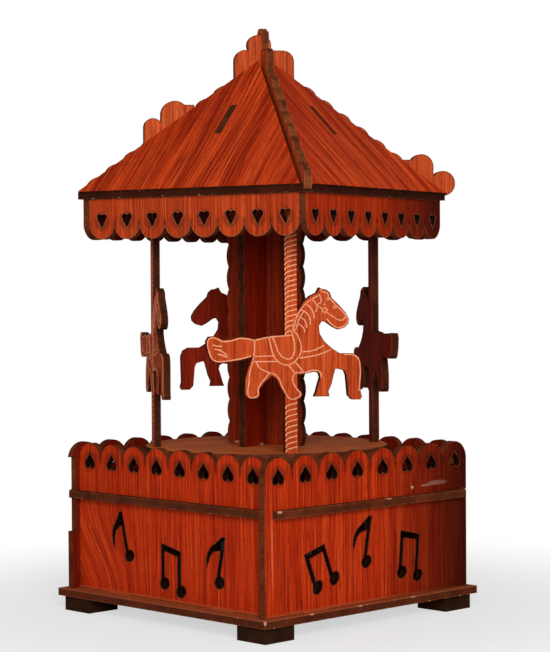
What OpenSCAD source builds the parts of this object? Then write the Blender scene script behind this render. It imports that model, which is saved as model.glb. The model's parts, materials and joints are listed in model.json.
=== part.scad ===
// Carousel music box: a four-horse carousel cut from thin veneered board,
// turned by a wind-up pinned-cylinder movement inside a square box.
// Z is up, the feet stand on Z = 0 and the spindle is the Z axis.
// The front panel faces -Y and the right panel faces +X.

/* [Board and fits] */
// thickness of every cut board
board_t = 3; // [2:0.5:5]
// clearance on each side of a tab in its slot
fit_gap = 0.05; // [0.02:0.01:0.2]
// radial clearance of a turning shaft in its bearing
run_gap = 0.05; // [0.02:0.01:0.1]
// clearance between pieces that move past each other
move_gap = 0.3; // [0.2:0.05:0.6]

/* [Box] */
// side of the square base plate
base_w = 120; // [90:1:180]
// height of the corner feet
foot_h = 6; // [5:0.5:12]
// side of each square foot
foot_w = 15; // [10:1:25]
// distance from the plate's edge to a foot
foot_inset = 2; // [0:0.5:8]
// distance from the plate's edge to the side panels
panel_margin = 3; // [1:0.5:8]
// height of the panels with their scallops
panel_h = 59; // [54:1:80]
// how far the side panels run past the front and back panels
panel_overhang = 3.5; // [3:0.5:6]
// number of scallops on each panel
scallops = 8; // [4:1:12]
// lowest point of the long notch in the left panel's front edge
notch_low = 23; // [15:1:30]
// depth of that notch's top below the panel's top
notch_drop = 6; // [4:0.5:12]
// how deep that notch cuts into the edge
notch_cut = 1.8; // [1:0.1:3]
// height of the trim strips above the base plate
trim_z = 38; // [30:0.5:42]
// height of a trim strip
trim_h = 3; // [2:0.5:5]
// how far a trim strip stands out from its panel
trim_t = 3; // [2:0.5:5]
// gap between the near corner and the side trim
trim_setback = 4; // [2:0.5:10]
// length of the tabs that hold the panels
panel_tab = 14; // [8:1:24]
// distance of those tabs from the middle of a panel
panel_tab_at = 30; // [20:1:40]

/* [Hearts and notes] */
// width and height of a heart in the box panels
panel_heart = [6.2, 6]; // [3:0.1:8]
// width and height of a heart in the valances
roof_heart = [4.9, 5.7]; // [3:0.1:8]
// distance from a panel's top to the middle of its hearts
heart_drop = 7.1; // [5:0.1:10]
// half length of a note head
note_rx = 2.9; // [2:0.1:4]
// half height of a note head
note_ry = 2.3; // [1.5:0.1:3.5]
// width of a note's stem
stem_w = 1.9; // [1:0.1:3]
// length of a note's stem
stem_l = 17.6; // [10:0.1:20]
// how far a stem stands to the left of its head's middle
stem_in = 1.1; // [0:0.1:1.5]
// height of the stems of two joined notes
joined_stem = 15.4; // [10:0.1:18]
// thickness of the beam that joins two notes
beam_t = 2.4; // [1.5:0.1:4]
// distance between two joined notes
beam_l = 9.4; // [8:0.1:14]

/* [Turntable and column] */
// angle that the carousel has turned at rest
carousel_turn = 12.5; // [0:0.5:89]
// gap between the turntable and the panels round it
table_gap = 1.5; // [0.5:0.1:6]
// depth of the turntable's top below the panel tops
table_drop = 1.2; // [0:0.1:6]
// half width of the crossed column boards
column_half = 18; // [10:0.5:25]
// height of the column
column_h = 98.7; // [85:0.1:130]
// depth of the ripples on the column's edges
column_ripple = 1; // [0.5:0.1:2]
// number of ripples on a column edge
column_ripples = 11; // [6:1:16]
// nearest and farthest point of a column tab from the spindle
column_tab = [6, 13]; // [4:1:16]

/* [Horses and poles] */
// distance from the turntable's edge to the middle of the poles
pole_inset = 4; // [3:0.5:10]
// length of a horse from its tail to its lifted hoof
horse_l = 60.8; // [40:0.2:62]
// height of the lowest hoof above the turntable
horse_lift = 20.2; // [8:0.2:36]
// width of a pole
pole_w = 5; // [3:0.5:8]
// width of the tabs at a pole's ends
pole_tab = 3; // [2:0.5:5]

/* [Roof] */
// side of the square roof plate
roof_w = 107; // [90:1:140]
// how far the roof panels stand out over the plate's edge
eave_overhang = 1.5; // [0:0.1:3]
// slope of the roof
roof_pitch = 45.6; // [38:0.1:52]
// height of the valances
valance_h = 16; // [12:0.5:22]
// distance from the plate's edge to the valances
valance_margin = 1.5; // [0.5:0.5:5]
// depth from the plate to the middle of the valance hearts
valance_heart = 8.8; // [6:0.1:12]
// distance of the valance tabs from the middle
valance_tab_at = 28; // [15:1:38]
// length of a valance tab
valance_tab = 10; // [6:1:16]
// start and end of the slot in a roof panel, from the spindle
roof_slot = [22, 33.5]; // [10:0.5:40]
// start and end of the tab under each inner rafter
rafter_tab = [20, 28]; // [16:1:34]
// distance from the spindle to the inner end of a rafter
rafter_in = 6; // [5:0.5:12]
// start and end of the tabs under the hip boards
hip_tab = [28, 38]; // [20:1:40]
// gap between a roof panel and the hip boards
roof_gap = 0.7; // [0.1:0.1:1.5]
// how far each roof panel sits off the middle of its eaves
roof_shift = -0.75; // [-0.8:0.05:0.8]
// height of the right-left hip board's scallops over the roof's hip line
hip_proud = -0.5; // [-2:0.1:3]
// how much higher the near-far hip board stands
hip_step = 3; // [0:0.1:4]
// pitch of the small scallops on the hip boards
hip_pitch = 9; // [6:0.5:14]
// start and end of the finial, which stands off the middle
finial_x = [-7.2, 2.6]; // [-8:0.1:8]
// height of the finial above the roof's point
finial_h = 7; // [6:0.5:20]
// distance from the spindle to the scroll part way down a hip board
slope_scroll_r = 36.8; // [30:0.1:42]

/* [Music movement] */
// distance from the spindle to the bedplate's plain end
bed_left = 19; // [16:0.5:30]
// how far the bedplate runs on past the last bearing
bed_margin = 3.6; // [3:0.1:8]
// rim of the bedplate beside the comb
bed_rim = 3; // [2:0.5:6]
// thickness of the bedplate
bed_t = 2.4; // [1.5:0.1:4]
// outer radius of the spring barrel
barrel_r = 12.2; // [10:0.1:12.6]
// height of the spring barrel
barrel_h = 11; // [8:0.5:12]
// wall of the spring barrel
barrel_wall = 1; // [0.6:0.1:1.5]
// number of teeth on the crown wheel
crown_teeth = 40; // [40:4:40]
// size of the crown wheel's teeth, as a gear module
crown_module = 0.6; // [0.6:0.1:0.6]
// face width of the crown wheel's teeth
crown_face = 2; // [1:0.1:3]
// teeth on the pinion that the crown wheel drives
pinion_teeth = 20; // [20:4:20]
// radius of the pinned cylinder
drum_r = 6.5; // [5:0.1:6.5]
// number of notes, one comb tooth for each
notes = 18; // [12:1:18]
// pitch of the comb teeth
note_pitch = 1.1; // [0.8:0.05:1.1]
// number of pins on the cylinder
pins = 48; // [18:1:80]
// height of a pin above the cylinder
pin_h = 0.7; // [0.3:0.1:0.7]
// teeth on the gear at the cylinder's far end
train_teeth = 40; // [40:4:40]
// teeth on the idler that it drives
idler_teeth = 20; // [20:4:20]
// module of the cylinder gear and its idler
train_module = 0.5; // [0.5:0.1:0.5]
// teeth on the worm wheel
worm_wheel_teeth = 18; // [18:2:18]
// module of the worm and the worm wheel
worm_module = 0.6; // [0.6:0.1:0.6]
// pitch radius of the worm
worm_r = 1.8; // [1.5:0.1:2.5]
// radius of the air brake
fan_r = 8; // [5:0.5:9]
// radius of the output shaft
shaft_r = 3; // [2:0.1:4]
// radius of the winding arbor
arbor_r = 2; // [1.5:0.1:2.5]
// half length of the winding key
key_half = 12; // [8:0.5:20]

/* [Hidden] */
$fn = 48;
deck_z = foot_h + board_t;
side_face = base_w / 2 - panel_margin;
front_face = side_face - board_t - 0.5;
front_len = 2 * (side_face - board_t);
side_len = 2 * (front_face + panel_overhang);
table_top = deck_z + panel_h - table_drop;
table_z = table_top - board_t;
table_r = front_face - board_t - table_gap;
pole_r = table_r - pole_inset;
drawn_l = 60.8;
plate_z = table_top + column_h;
eave_z = plate_z + board_t;
roof_run = roof_w / 2 + eave_overhang;
roof_rise = roof_run * tan(roof_pitch);
roof_slope = norm([roof_rise, roof_run]);
hip_run = roof_run * sqrt(2);
hip_pitch_angle = atan(roof_rise / hip_run);
finial_z = roof_rise + finial_h;
valance_face = roof_w / 2 - valance_margin;
slot_w = board_t + 2 * fit_gap;
plate_diag = roof_w / sqrt(2);

bed_top = deck_z + bed_t;
barrel_z = bed_top + 1.6;
crown_z = barrel_z + barrel_h;
crown_disc_t = 1.6;
crown_r = crown_teeth * crown_module / 2;
gear_add = 0.5;
gear_ded = 0.8;
drum_z = crown_z + crown_disc_t + gear_ded + pinion_teeth * crown_module / 2;
drum_x = 17.5;
drum_l = notes * note_pitch + 1.2;
train_x = drum_x + drum_l + 1.5;
train_face = 1.6;
train_dist = (train_teeth + idler_teeth) * train_module / 2;
idler_y = train_dist;
worm_wheel_r = worm_wheel_teeth * worm_module / 2;
worm_x = train_x - 2.4;
worm_y = idler_y + worm_wheel_r + worm_r;
worm_lead = PI * worm_module;
worm_turns = 2.5;
drum_bearing = [drum_x - 3.1, train_x + train_face + 2];
ear_x = [worm_x - 4, train_x + train_face + 2];
bearing_t = 1.8;
bridge_z = drum_z + 12;
bridge_t = 2.4;
pillar_y = 22;
comb_tip = drum_r + pin_h + move_gap;
comb_t = 1.2;
comb_y = comb_tip + 11;
comb_back = comb_y + 11.5;
bed_x = -bed_left;
bed_l = ear_x[1] + bearing_t + bed_margin - bed_x;
bed_w = 2 * (comb_back + bed_rim);
bed_screw_in = 4;
hub_z = table_z - 8;
hub_flange_r = 15;
hub_screw_at = 11;
key_h = 3.6;
key_z = 1;

wood = [0.72, 0.24, 0.1];
wood_dark = [0.5, 0.14, 0.06];
wood_edge = [0.32, 0.18, 0.1];
wood_disc = [0.6, 0.34, 0.18];
wood_horse = [0.8, 0.38, 0.17];
steel = [0.66, 0.67, 0.7];
dark_steel = [0.4, 0.41, 0.43];
brass = [0.8, 0.62, 0.28];

// which sub-part to build

// ---- shared outlines -------------------------------------------------

function ellipse(rx, ry, steps = 24) =
    [for (i = [0:steps - 1]) [rx * cos(360 * i / steps), ry * sin(360 * i / steps)]];

// a heart with its point at the origin and its lobes upwards
module heart(size) {
    lobe = size[0] * 0.27;
    c = [size[0] / 2 - lobe, size[1] - lobe];
    side = atan2(c[1], c[0]) - asin(lobe / norm(c)) - 90;
    touch = c + 0.97 * lobe * [cos(side), sin(side)];
    for (x = [-c[0], c[0]])
        translate([x, c[1]])
            circle(lobe);
    polygon([[0, 0], touch, [c[0], c[1] + lobe * 0.3], [0, c[1] + lobe * 0.6],
        [-c[0], c[1] + lobe * 0.3], [-touch[0], touch[1]]]);
}

// a board with a scalloped top edge and a row of hearts that point at it
module scalloped_board(len, h, heart_size, heart_at) {
    pitch = len / scallops;
    tongue = pitch * 0.505;
    difference() {
        intersection() {
            translate([-len / 2, 0])
                square([len, h + 1]);
            union() {
                translate([-len / 2, 0])
                    square([len, h - tongue]);
                for (i = [0:scallops - 1])
                    translate([(i - (scallops - 1) / 2) * pitch, h - tongue])
                        circle(tongue);
            }
        }
        for (i = [0:scallops - 1])
            translate([(i - (scallops - 1) / 2) * pitch, heart_at])
                rotate(180)
                    translate([0, -heart_size[1] / 2])
                        heart(heart_size);
    }
}

module note_head() {
    rotate(18)
        polygon(ellipse(note_rx, note_ry));
}

// one note with a hooked flag, its head at the origin
module single_note(lean) {
    note_head();
    translate([-stem_in, 0])
        rotate(lean) {
            translate([-stem_w / 2, 0])
                square([stem_w, stem_l]);
            translate([-stem_w / 2, stem_l])
                polygon([[0, 0], [-2.6, -2.9], [-5.6, -5.9], [-6.8, -8.6], [-6.9, -11.4],
                    [-6, -14.4], [-5.4, -11.2], [-5, -8.9], [-3.4, -6.7], [0, -5.4]]);
        }
}

// two notes joined by a sloping beam, the first head at the origin
module joined_notes(lean, slope, stem) {
    rise = beam_l * tan(slope);
    rotate(lean) {
        for (i = [0, 1])
            translate([i * beam_l, i * rise]) {
                note_head();
                translate([-stem_in - stem_w / 2, 0])
                    square([stem_w, stem - beam_t / 2]);
            }
        translate([-stem_in - stem_w / 2, stem - beam_t])
            polygon([[0, 0], [beam_l + stem_w, rise], [beam_l + stem_w, rise + beam_t], [0, beam_t]]);
    }
}

// tabs that stand down from a board's bottom edge
module edge_tabs(at, len) {
    for (side = [-1, 1])
        translate([side * at - len / 2, -board_t])
            square([len, board_t + 0.01]);
}

module slot_row(at, len) {
    for (side = [-1, 1])
        translate([side * at - len / 2 - fit_gap, -slot_w / 2])
            square([len + 2 * fit_gap, slot_w]);
}

// stands a board outline up, facing out along -Y with its face at y = -face
module stand(face, turn) {
    rotate([0, 0, turn])
        translate([0, board_t - face, 0])
            rotate([90, 0, 0])
                linear_extrude(board_t)
                    children();
}

module turned() {
    rotate([0, 0, carousel_turn])
        children();
}

// ---- the box -----------------------------------------------------------

module panel_slots() {
    for (turn = [0, 180]) {
        rotate(turn)
            translate([0, board_t / 2 - front_face])
                slot_row(panel_tab_at, panel_tab);
        rotate(turn + 90)
            translate([0, board_t / 2 - side_face])
                slot_row(panel_tab_at, panel_tab);
    }
}

module bed_screw_places() {
    for (x = [bed_screw_in, bed_l - bed_screw_in], side = [-1, 1])
        translate([bed_x + x, side * (bed_w / 2 - bed_screw_in), 0])
            children();
}

module base_plate() {
    color(wood_edge)
        difference() {
            translate([0, 0, foot_h])
                linear_extrude(board_t)
                    difference() {
                        square(base_w, center = true);
                        panel_slots();
                        circle(arbor_r + 3);
                    }
            bed_screw_places()
                translate([0, 0, foot_h - 1])
                    cylinder(r = 1.25, h = board_t + 2);
        }
}

module corner_feet() {
    inner = base_w / 2 - foot_inset - foot_w;
    color(wood_edge)
        for (turn = [0:90:270])
            rotate([0, 0, turn])
                translate([inner, inner, 0])
                    cube([foot_w, foot_w, foot_h]);
}

module front_notes() {
    translate([-23.1, 15.7])
        single_note(14);
    translate([-2.2, 6.9])
        joined_notes(0, -14, joined_stem);
    translate([28.9, 10.3])
        single_note(-12);
}

module side_notes() {
    translate([-29.3, 8.8])
        joined_notes(21.5, -6.5, 0.95 * joined_stem);
    translate([-2.4, 15.8])
        single_note(-11);
    translate([18, 9.6])
        joined_notes(-5, -8, 1.05 * joined_stem);
}

module front_board(turn) {
    color(wood)
        translate([0, 0, deck_z])
            stand(front_face, turn)
                difference() {
                    union() {
                        scalloped_board(front_len, panel_h, panel_heart, panel_h - heart_drop);
                        edge_tabs(panel_tab_at, panel_tab);
                    }
                    front_notes();
                }
}

// the trims of the front and back panels run out through a notch at their height
module side_board(turn, low, high) {
    half = trim_h / 2 + fit_gap;
    color(wood)
        translate([0, 0, deck_z])
            stand(side_face, turn)
                difference() {
                    union() {
                        scalloped_board(side_len, panel_h, panel_heart, panel_h - heart_drop);
                        edge_tabs(panel_tab_at, panel_tab);
                    }
                    side_notes();
                    translate([side_len / 2 - panel_overhang, trim_z - half])
                        square([panel_overhang + 1, 2 * half]);
                    if (high > low)
                        translate([side_len / 2 - notch_cut, low])
                            square([notch_cut + 1, high - low]);
                }
}

module panel_front() {
    front_board(0);
}

module panel_back() {
    front_board(180);
}

module panel_right() {
    side_board(90, 0, 0);
}

module panel_left() {
    side_board(270, notch_low, panel_h - notch_drop);
}

// a strip glued along a panel, from one distance along it to another
module trim_strip(face, turn, from, to) {
    color(wood_edge)
        rotate([0, 0, turn])
            translate([from, -face - trim_t, deck_z + trim_z - trim_h / 2])
                cube([to - from, trim_t, trim_h]);
}

module trim_front() {
    trim_strip(front_face, 0, -side_face, side_face - board_t);
}

module trim_back() {
    trim_strip(front_face, 180, -side_face, side_face - board_t);
}

module trim_right() {
    trim_strip(side_face, 90, -side_len / 2 + trim_setback, side_len / 2 - panel_overhang);
}

module trim_left() {
    trim_strip(side_face, 270, -side_len / 2 + trim_setback, side_len / 2 - panel_overhang);
}

// ---- gear outlines ------------------------------------------------------

// half the width of a straight-sided tooth at radius r, as an angle
function tooth_half(r, pitch_r, m, play) =
    ((PI * m / 2 - play) / 2 - (r - pitch_r) * tan(20)) / r * 180 / PI;

module gear_outline(teeth, m, play = 0.2, phase = 0) {
    pitch_r = teeth * m / 2;
    tip = pitch_r + gear_add * m / 0.6;
    root = pitch_r - gear_ded * m / 0.6;
    tip_a = tooth_half(tip, pitch_r, m, play);
    root_a = tooth_half(root, pitch_r, m, play);
    polygon([for (i = [0:teeth - 1], p = [[root, -root_a], [tip, -tip_a], [tip, tip_a], [root, root_a]])
        p[0] * [cos(360 * (i + phase) / teeth + p[1]), sin(360 * (i + phase) / teeth + p[1])]]);
}

// lays an outline across the drum's axis: its x to +Y, its y to +Z
module across(x, y, t) {
    translate([x, y, drum_z])
        rotate([90, 0, 90])
            linear_extrude(t)
                children();
}

// ---- the movement's fixed parts -----------------------------------------

module movement_bedplate() {
    color(steel)
        difference() {
            translate([bed_x, -bed_w / 2, deck_z])
                cube([bed_l, bed_w, bed_t]);
            translate([0, 0, deck_z - 1])
                cylinder(r = arbor_r + run_gap, h = bed_t + 2);
            bed_screw_places()
                translate([0, 0, deck_z - 1])
                    cylinder(r = 1.25, h = bed_t + 2);
        }
}

// a cheese-head screw standing on its shank, its head from z = 0 up
module screw(head_r, head_h, shank_r, shank_l) {
    difference() {
        union() {
            cylinder(r = head_r, h = head_h);
            translate([0, 0, -shank_l])
                cylinder(r = shank_r, h = shank_l + 0.1);
        }
        translate([-head_r - 1, -0.3, head_h / 2])
            cube([2 * head_r + 2, 0.6, head_h]);
    }
}

module bedplate_screws() {
    color(dark_steel)
        bed_screw_places()
            translate([0, 0, bed_top])
                screw(2.4, 1.5, 1.2, bed_t + board_t);
}

module bridge_screw_holes() {
    for (side = [-1, 1])
        translate([0, side * pillar_y, bridge_z - 4])
            cylinder(r = 1.05, h = 4 + bridge_t + 1);
}

module bridge_pillars() {
    color(steel)
        difference() {
            for (side = [-1, 1])
                translate([0, side * pillar_y, bed_top])
                    cylinder(r = 2.5, h = bridge_z - bed_top);
            bridge_screw_holes();
        }
}

module top_bridge() {
    color(brass)
        difference() {
            translate([0, 0, bridge_z])
                union() {
                    translate([-5, -pillar_y, 0])
                        cube([10, 2 * pillar_y, bridge_t]);
                    for (side = [-1, 1])
                        translate([0, side * pillar_y, 0])
                            cylinder(r = 5, h = bridge_t);
                    cylinder(r = shaft_r + 2.5, h = bridge_t + 2);
                }
            translate([0, 0, bridge_z - 1])
                cylinder(r = shaft_r + run_gap, h = bridge_t + 4);
            bridge_screw_holes();
        }
}

module bridge_screws() {
    color(dark_steel)
        for (side = [-1, 1])
            translate([0, side * pillar_y, bridge_z + bridge_t])
                screw(2.6, 1.5, 1, bridge_t + 3);
}

module comb_block() {
    color(steel)
        translate([drum_x - 0.5, -comb_back, bed_top])
            cube([drum_l + 1, comb_back - comb_y - 1.5, drum_z - comb_t / 2 - bed_top]);
}

module tone_comb() {
    first = drum_x + 0.6;
    color(dark_steel)
        translate([0, 0, drum_z - comb_t / 2])
            difference() {
                union() {
                    translate([drum_x - 0.5, -comb_back, 0])
                        cube([drum_l + 1, comb_back - comb_y, comb_t]);
                    for (i = [0:notes - 1])
                        translate([first + (i + 0.5) * note_pitch - 0.36, -comb_y - 0.1, 0])
                            cube([0.72, comb_y - comb_tip + 0.1, comb_t]);
                }
                for (i = [-1, 0, 1])
                    translate([drum_x + drum_l / 2 + i * 7, -comb_back + 4, -1])
                        cylinder(r = 1.05, h = comb_t + 2);
            }
}

module comb_screws() {
    color(steel)
        for (i = [-1, 0, 1])
            translate([drum_x + drum_l / 2 + i * 7, -comb_back + 4, drum_z + comb_t / 2])
                screw(1.9, 1.3, 1, comb_t);
}

// an upright plate with a rounded top and a bearing hole
module upright(x, y, bore) {
    difference() {
        union() {
            translate([x, y - 4, bed_top])
                cube([bearing_t, 8, drum_z - bed_top]);
            translate([x, y, drum_z])
                rotate([0, 90, 0])
                    cylinder(r = 4, h = bearing_t);
        }
        translate([x - 1, y, drum_z])
            rotate([0, 90, 0])
                cylinder(r = bore, h = bearing_t + 2);
    }
}

module drum_bearings() {
    color(steel)
        for (x = drum_bearing)
            upright(x, 0, 1.2 + run_gap);
}

module governor_frame() {
    post_y = worm_y + 4;
    color(brass) {
        for (x = ear_x)
            upright(x, idler_y, 1 + run_gap);
        difference() {
            union() {
                translate([worm_x - 2, post_y, bed_top])
                    cube([4, 3, drum_z + 9 - bed_top]);
                for (z = [drum_z - 10.5, drum_z + 7])
                    translate([worm_x - 2, worm_y, z])
                        cube([4, 4.5, 2]);
                for (z = [drum_z - 10.5, drum_z + 7])
                    translate([worm_x, worm_y, z])
                        cylinder(r = 2, h = 2);
            }
            translate([worm_x, worm_y, drum_z - 12])
                cylinder(r = 0.8 + run_gap, h = 24);
        }
    }
}

// ---- what the spring turns with the carousel ------------------------------

module spring_barrel() {
    color(brass)
        translate([0, 0, barrel_z])
            difference() {
                cylinder(r = barrel_r, h = barrel_h);
                translate([0, 0, barrel_wall])
                    cylinder(r = barrel_r - barrel_wall, h = barrel_h);
                translate([0, 0, -1])
                    cylinder(r = arbor_r + run_gap, h = barrel_wall + 2);
            }
}

// a wound strip, from near the arbor out to the barrel's wall
module mainspring() {
    turns = 5;
    steps = turns * 24;
    strip = 0.35;
    low = arbor_r + 1.3;
    high = barrel_r - barrel_wall - strip;
    color(dark_steel)
        translate([0, 0, barrel_z + barrel_wall])
            linear_extrude(barrel_h - barrel_wall - 0.6)
                polygon(concat(
                    [for (i = [0:steps]) (low + (high - low) * i / steps) * [cos(15 * i), sin(15 * i)]],
                    [for (i = [steps:-1:0])
                        (low + strip + (high - low) * i / steps) * [cos(15 * i), sin(15 * i)]]));
}

module crown_wheel() {
    half = PI * crown_module / 4 - 0.1;
    slope = tan(20);
    inner = crown_r - crown_face / 2;
    color(brass)
        translate([0, 0, crown_z]) {
            cylinder(r = crown_r + crown_face / 2 + 0.2, h = crown_disc_t);
            for (i = [0:crown_teeth - 1])
                rotate([0, 0, 360 * (i + 0.5) / crown_teeth])
                    translate([inner, 0, crown_disc_t - 0.1])
                        rotate([90, 0, 90])
                            linear_extrude(crown_face)
                                polygon([[-half - gear_ded * slope, 0], [half + gear_ded * slope, 0],
                                    [half - gear_add * slope, gear_ded + gear_add + 0.1],
                                    [-half + gear_add * slope, gear_ded + gear_add + 0.1]]);
        }
}

module output_shaft() {
    color(steel)
        translate([0, 0, crown_z + crown_disc_t])
            cylinder(r = shaft_r, h = table_z - crown_z - crown_disc_t);
}

module turntable_hub() {
    color(brass)
        difference() {
            union() {
                translate([0, 0, table_z - 2])
                    cylinder(r = hub_flange_r, h = 2);
                translate([0, 0, hub_z])
                    cylinder(r = 6.5, h = 6.5);
            }
            translate([0, 0, hub_z - 1])
                cylinder(r = shaft_r + 0.02, h = 10);
            for (a = [45:90:315])
                rotate([0, 0, a + carousel_turn])
                    translate([hub_screw_at, 0, table_z - 3])
                        cylinder(r = 1.25, h = 4);
        }
}

module hub_screws() {
    color(dark_steel)
        for (a = [45:90:315])
            rotate([0, 0, a + carousel_turn])
                translate([hub_screw_at, 0, table_z - 2])
                    rotate([180, 0, 0])
                        screw(2.4, 1.4, 1.2, 4);
}

// the slots for the tabs of the crossed column boards
module column_slots() {
    for (turn = [0:90:270])
        rotate(turn)
            translate([column_tab[0] - fit_gap, -slot_w / 2])
                square([column_tab[1] - column_tab[0] + 2 * fit_gap, slot_w]);
}

module pole_slots() {
    for (turn = [45:90:315])
        rotate(turn)
            translate([pole_r - slot_w / 2, -pole_tab / 2 - fit_gap])
                square([slot_w, pole_tab + 2 * fit_gap]);
}

module turntable_disc() {
    color(wood_disc)
        turned()
            difference() {
                translate([0, 0, table_z])
                    linear_extrude(board_t)
                        difference() {
                            circle(table_r, $fn = 96);
                            column_slots();
                            pole_slots();
                        }
                for (a = [45:90:315])
                    rotate([0, 0, a])
                        translate([hub_screw_at, 0, table_z - 1])
                            cylinder(r = 1.25, h = 3.2);
            }
}

// ---- column and horses ---------------------------------------------------

// one of the two crossed boards; its halving slot opens up or down
module column_board(turn, slot_up) {
    pitch = column_h / column_ripples;
    bulge = (pitch * pitch / 4 + column_ripple * column_ripple) / (2 * column_ripple);
    half = column_half - column_ripple;
    color(wood_dark)
        turned()
            rotate([0, 0, turn])
                translate([0, board_t / 2, table_top])
                    rotate([90, 0, 0])
                        linear_extrude(board_t)
                            difference() {
                                union() {
                                    translate([-half, 0])
                                        square([2 * half, column_h]);
                                    intersection() {
                                        translate([-column_half, 0])
                                            square([2 * column_half, column_h]);
                                        for (side = [-1, 1], i = [0:column_ripples - 1])
                                            translate([side * (column_half - bulge), (i + 0.5) * pitch])
                                                circle(bulge);
                                    }
                                    for (side = [0, 180], z = [-board_t, column_h - 0.01])
                                        translate([side == 0 ? column_tab[0] : -column_tab[1], z])
                                            square([column_tab[1] - column_tab[0], board_t + 0.01]);
                                }
                                translate([-slot_w / 2, slot_up ? column_h / 2 : -1])
                                    square([slot_w, column_h / 2 + 1]);
                            }
}

module column_board_a() {
    column_board(0, true);
}

module column_board_b() {
    column_board(90, false);
}

// the galloping horse, forwards along +x, heights from its lowest hoof
module horse_outline() {
    scale(horse_l / drawn_l)
        polygon([
            // tail, held straight out
            [-15.1, 16.9], [-19.5, 15.7], [-24.5, 15], [-29, 14.8], [-31, 16],
            [-32.4, 19.3], [-32.9, 23], [-31.8, 24.8], [-29.4, 25], [-26.6, 23.6],
            [-23.5, 23.7], [-20, 24.6], [-17, 24.4], [-14.6, 23.6],
            // back, neck and mane
            [-9, 24.8], [-0.3, 25.4], [1.2, 30.8], [2.8, 34.6], [5, 37.8],
            [7.6, 40], [10.2, 41.2], [11.2, 43.2], [12.4, 42.6],
            // forehead and muzzle
            [14, 42.4], [15.4, 41.2], [16.1, 39.2], [19.2, 36.2], [21.6, 33.4],
            [22.9, 31], [22.6, 29.2], [21, 27.7], [18.6, 27], [16.6, 28],
            // throat and chest
            [13.8, 30], [12, 30.2], [11, 28.4], [11.3, 25.4], [13.2, 22.4],
            [16.4, 19.6], [19.4, 17.8],
            // lifted foreleg
            [24.4, 17.8], [26.6, 16.6], [27.6, 14], [27.3, 3.2], [27.9, 1.2],
            [27.3, 0], [24, 0], [22.4, 1.6], [21.7, 9.4], [21, 11.2],
            [19, 11.8], [17.4, 12],
            // other foreleg
            [16.6, 9.2], [15.8, 6], [14.6, 3.4], [15, 1.4], [9, 1.4],
            [9.8, 3.2], [10.6, 6.2], [11.4, 8.6], [11, 10.2], [9.6, 11],
            // belly and leg by the pole
            [5.3, 10.2], [1.7, 9.8], [1, 8.2], [2.6, 4.4], [4.4, 2.4],
            [3.4, 0.8], [-1.5, 0.8], [-4, 4.8], [-5.6, 8.2], [-7.4, 9.6],
            // rear leg
            [-10, 7.6], [-12.6, 4.4], [-12.4, 2.2], [-13.4, 1], [-16.6, 1.1],
            [-18, 2.6], [-17.9, 8.4], [-17, 11.8]]);
}

module horse(turn) {
    color(wood_horse)
        turned()
            rotate([0, 0, turn])
                translate([pole_r - board_t / 2, 0, table_top])
                    rotate([90, 0, 90])
                        union() {
                            translate([0, horse_lift, 0])
                                linear_extrude(board_t)
                                    horse_outline();
                            translate([-pole_w / 2, 0, 0])
                                cube([pole_w, column_h, board_t]);
                            translate([-pole_tab / 2, -board_t, 0])
                                cube([pole_tab, column_h + 2 * board_t, board_t]);
                        }
}

module horse_front() {
    horse(-45);
}

module horse_right() {
    horse(45);
}

module horse_back() {
    horse(135);
}

module horse_left() {
    horse(-135);
}

// ---- the roof ---------------------------------------------------------------

module roof_plate() {
    color(wood_edge)
        turned()
            translate([0, 0, plate_z])
                linear_extrude(board_t)
                    difference() {
                        square(roof_w, center = true);
                        column_slots();
                        pole_slots();
                        for (turn = [0:90:270])
                            rotate(turn) {
                                translate([0, board_t / 2 - valance_face])
                                    slot_row(valance_tab_at, valance_tab);
                                translate([rafter_tab[0] - fit_gap, -slot_w / 2])
                                    square([rafter_tab[1] - rafter_tab[0] + 2 * fit_gap, slot_w]);
                            }
                        for (turn = [45:90:315])
                            rotate(turn)
                                translate([hip_tab[0] - fit_gap, -slot_w / 2])
                                    square([hip_tab[1] - hip_tab[0] + 2 * fit_gap, slot_w]);
                    }
}

module valance(turn, len) {
    color(wood)
        turned()
            translate([0, 0, plate_z])
                stand(valance_face, turn)
                    mirror([0, 1]) {
                        scalloped_board(len, valance_h, roof_heart, valance_heart);
                        edge_tabs(valance_tab_at, valance_tab);
                    }
}

module valance_front() {
    valance(0, 2 * (valance_face - board_t));
}

module valance_back() {
    valance(180, 2 * (valance_face - board_t));
}

module valance_right() {
    valance(90, 2 * valance_face);
}

module valance_left() {
    valance(270, 2 * valance_face);
}

// the slope of one roof side: x along the eaves, y up the slope, z outwards
module on_slope() {
    translate([0, -roof_run, 0])
        rotate([roof_pitch, 0, 0])
            children();
}

function slope_at(r) = (roof_run - r) / cos(roof_pitch);

module roof_panel(turn) {
    hip_gap = (board_t / 2 + roof_gap) * sqrt(2);
    color(wood)
        turned()
            rotate([0, 0, turn])
                translate([0, 0, eave_z])
                    difference() {
                        intersection() {
                            on_slope()
                                translate([-roof_run, -board_t, -board_t])
                                    cube([2 * roof_run, roof_slope + board_t, board_t]);
                            translate([roof_shift, -hip_gap, 0])
                                linear_extrude(roof_rise + board_t)
                                    polygon([[0, 0], [roof_w, -roof_w], [-roof_w, -roof_w]]);
                        }
                        on_slope()
                            translate([-slot_w / 2, slope_at(roof_slot[1]), -board_t - 1])
                                cube([slot_w, slope_at(roof_slot[0]) - slope_at(roof_slot[1]), board_t + 2]);
                    }
}

module roof_panel_front() {
    roof_panel(0);
}

module roof_panel_right() {
    roof_panel(90);
}

module roof_panel_back() {
    roof_panel(180);
}

module roof_panel_left() {
    roof_panel(270);
}

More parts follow.
